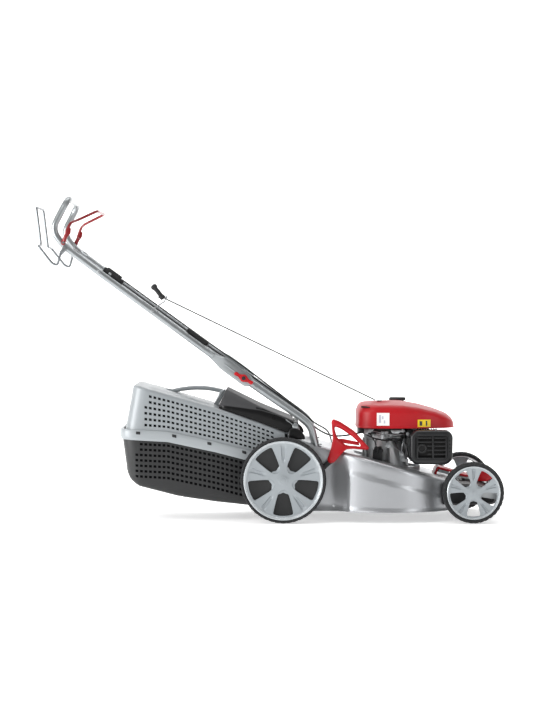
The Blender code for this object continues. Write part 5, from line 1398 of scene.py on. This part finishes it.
lower_levels = []
for share in np.linspace(0, 1, 16):
    line = box_outline(-0.4855 + 0.0120 * share, 0.1960 - 0.0100 * share ** 2, 0.1590 - 0.002 * share)
    line[:, 0] = np.minimum(line[:, 0], -0.020 + (line[:, 0] + 0.020) * 0.10)
    high = height_on(SEAM, line[:, 0]) - BAND + 0.002
    low = height_on(KEEL, line[:, 0]) + 0.026
    z = high + (low - high) * share
    below = height_on(SEAM, line[:, 0]) - BAND - z
    lower_levels.append((line, z, (below - 0.0030) / 0.0178))
foot_line = lower_levels[-1][0]
for a in np.linspace(0.2, math.pi / 2, 7):
    line = pushed_in(foot_line, 0.026 * (1 - math.cos(a)))
    z = height_on(KEEL, line[:, 0]) + 0.026 * (1 - math.sin(a))
    lower_levels.append((line, z, np.full(len(line), OFF_PANEL)))


def floor_height(x, ys, half):
    """The keel line, raised 1.6 mm in strips where |sin(pi y / 44 mm)| is over 0.93."""
    return height_on(KEEL, x) - 0.0004 + 0.0016 * (np.abs(np.sin(ys * math.pi / 0.044)) > 0.93)


parts, marks = capped(lower_levels, pushed_in(foot_line, 0.0255), (0.001, -0.38, -0.0150, 26), 22,
                      floor_height, WALL)
pierced(LOWER_BLACK, 0.0, 7.0, -0.441, 0.6)
shape("box_lower_skin", parts, LOWER_BLACK, "grass_box", ["box_lower_shell"],
      sharp=40, uv=marks)

# Carrying arch: a satin grey bar over a raised foot, its front leg a lighter moulded strap.
arch_top = bent([(-0.3420, 0, 0.4200), (-0.3100, 0, 0.4300), (-0.2600, 0, 0.4365),
                 (-0.2100, 0, 0.4355), (-0.1600, 0, 0.4255)], 0.020, 5)
arch_rows = []
ahead = unit(np.gradient(arch_top, axis=0))
section = rounded([(-0.016, -0.0110), (0.016, -0.0110), (0.016, 0.0025), (-0.016, 0.0025)], 0.007, 5)
for i, (here, into) in enumerate(zip(arch_top, ahead)):
    up = np.array([-into[2], 0, into[0]]) * (1 if into[0] > 0 else -1)
    arch_rows.append(here + section[:, :1] * np.array([0, 1, 0]) + section[:, 1:] * up)
strap = rounded([(-0.1690, 0.4215), (-0.1505, 0.4280), (-0.1510, 0.4180), (-0.1745, 0.3705),
                 (-0.1905, 0.3755), (-0.1720, 0.4100)], 0.003, 4)
rear_foot = rounded([(-0.372, 0.4260), (-0.340, 0.4290), (-0.322, 0.4250), (-0.330, 0.4120),
                     (-0.372, 0.4220)], 0.004, 4)
shape("box_arch", [lofted(arch_rows), slab(rear_foot, "Y", -0.0160, 0.0160, 0.002, 4)],
      finish_of("satin_grey_moulding", "8b9093", 0.42, 0.0, 0.9, 0.2, 0.08), "grass_box",
      ["box_handle"])
shape("box_arch_strap", [slab(strap, "Y", -0.0300, 0.0300, 0.003, 4)], FLANGE_GREY, "grass_box")

# ==== Hidden and plain pieces =================================================================
# What model.glb already shapes well keeps its CAD form and gets the material of the real piece.
# Belt cloth is dull black, the blade bare grey steel, the tank pale, the ceramic glossy.
BELT = finish_of("fabric_faced_belt", "1e1e1f", 0.75, 0.0, 0.5, 0.4, 0.2)
BLADE_STEEL = finish_of("ground_blade_steel", "6d7073", 0.38, 0.9, 0.8, 0.25, 0.25)
PALE_PLASTIC = finish_of("pale_tank_moulding", "c9c7bd", 0.55, 0.0, 1.0, 0.15, 0.05)
CERAMIC = finish_of("glazed_ceramic", "ece9e2", 0.18, 0.0, 1.5, 0.04, 0.04)
for nodes, material in (
    (("crankshaft", "rear_axle", "front_axle", "drive_shaft"), ZINC),
    (("flywheel", "gearbox", "carburettor", "gearbox_pulley"), CASTING),
    (("blade",), BLADE_STEEL), (("v_belt",), BELT), (("fuel_tank",), PALE_PLASTIC),
    (("air_filter_cover", "starter_pulley"), BLACK_MOULDING), (("spark_plug",), CERAMIC),
    (("lever_quadrant",), SATIN_STEEL),
):
    for node in nodes:
        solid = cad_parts[node]
        solid.data.materials.clear()
        solid.data.materials.append(material)
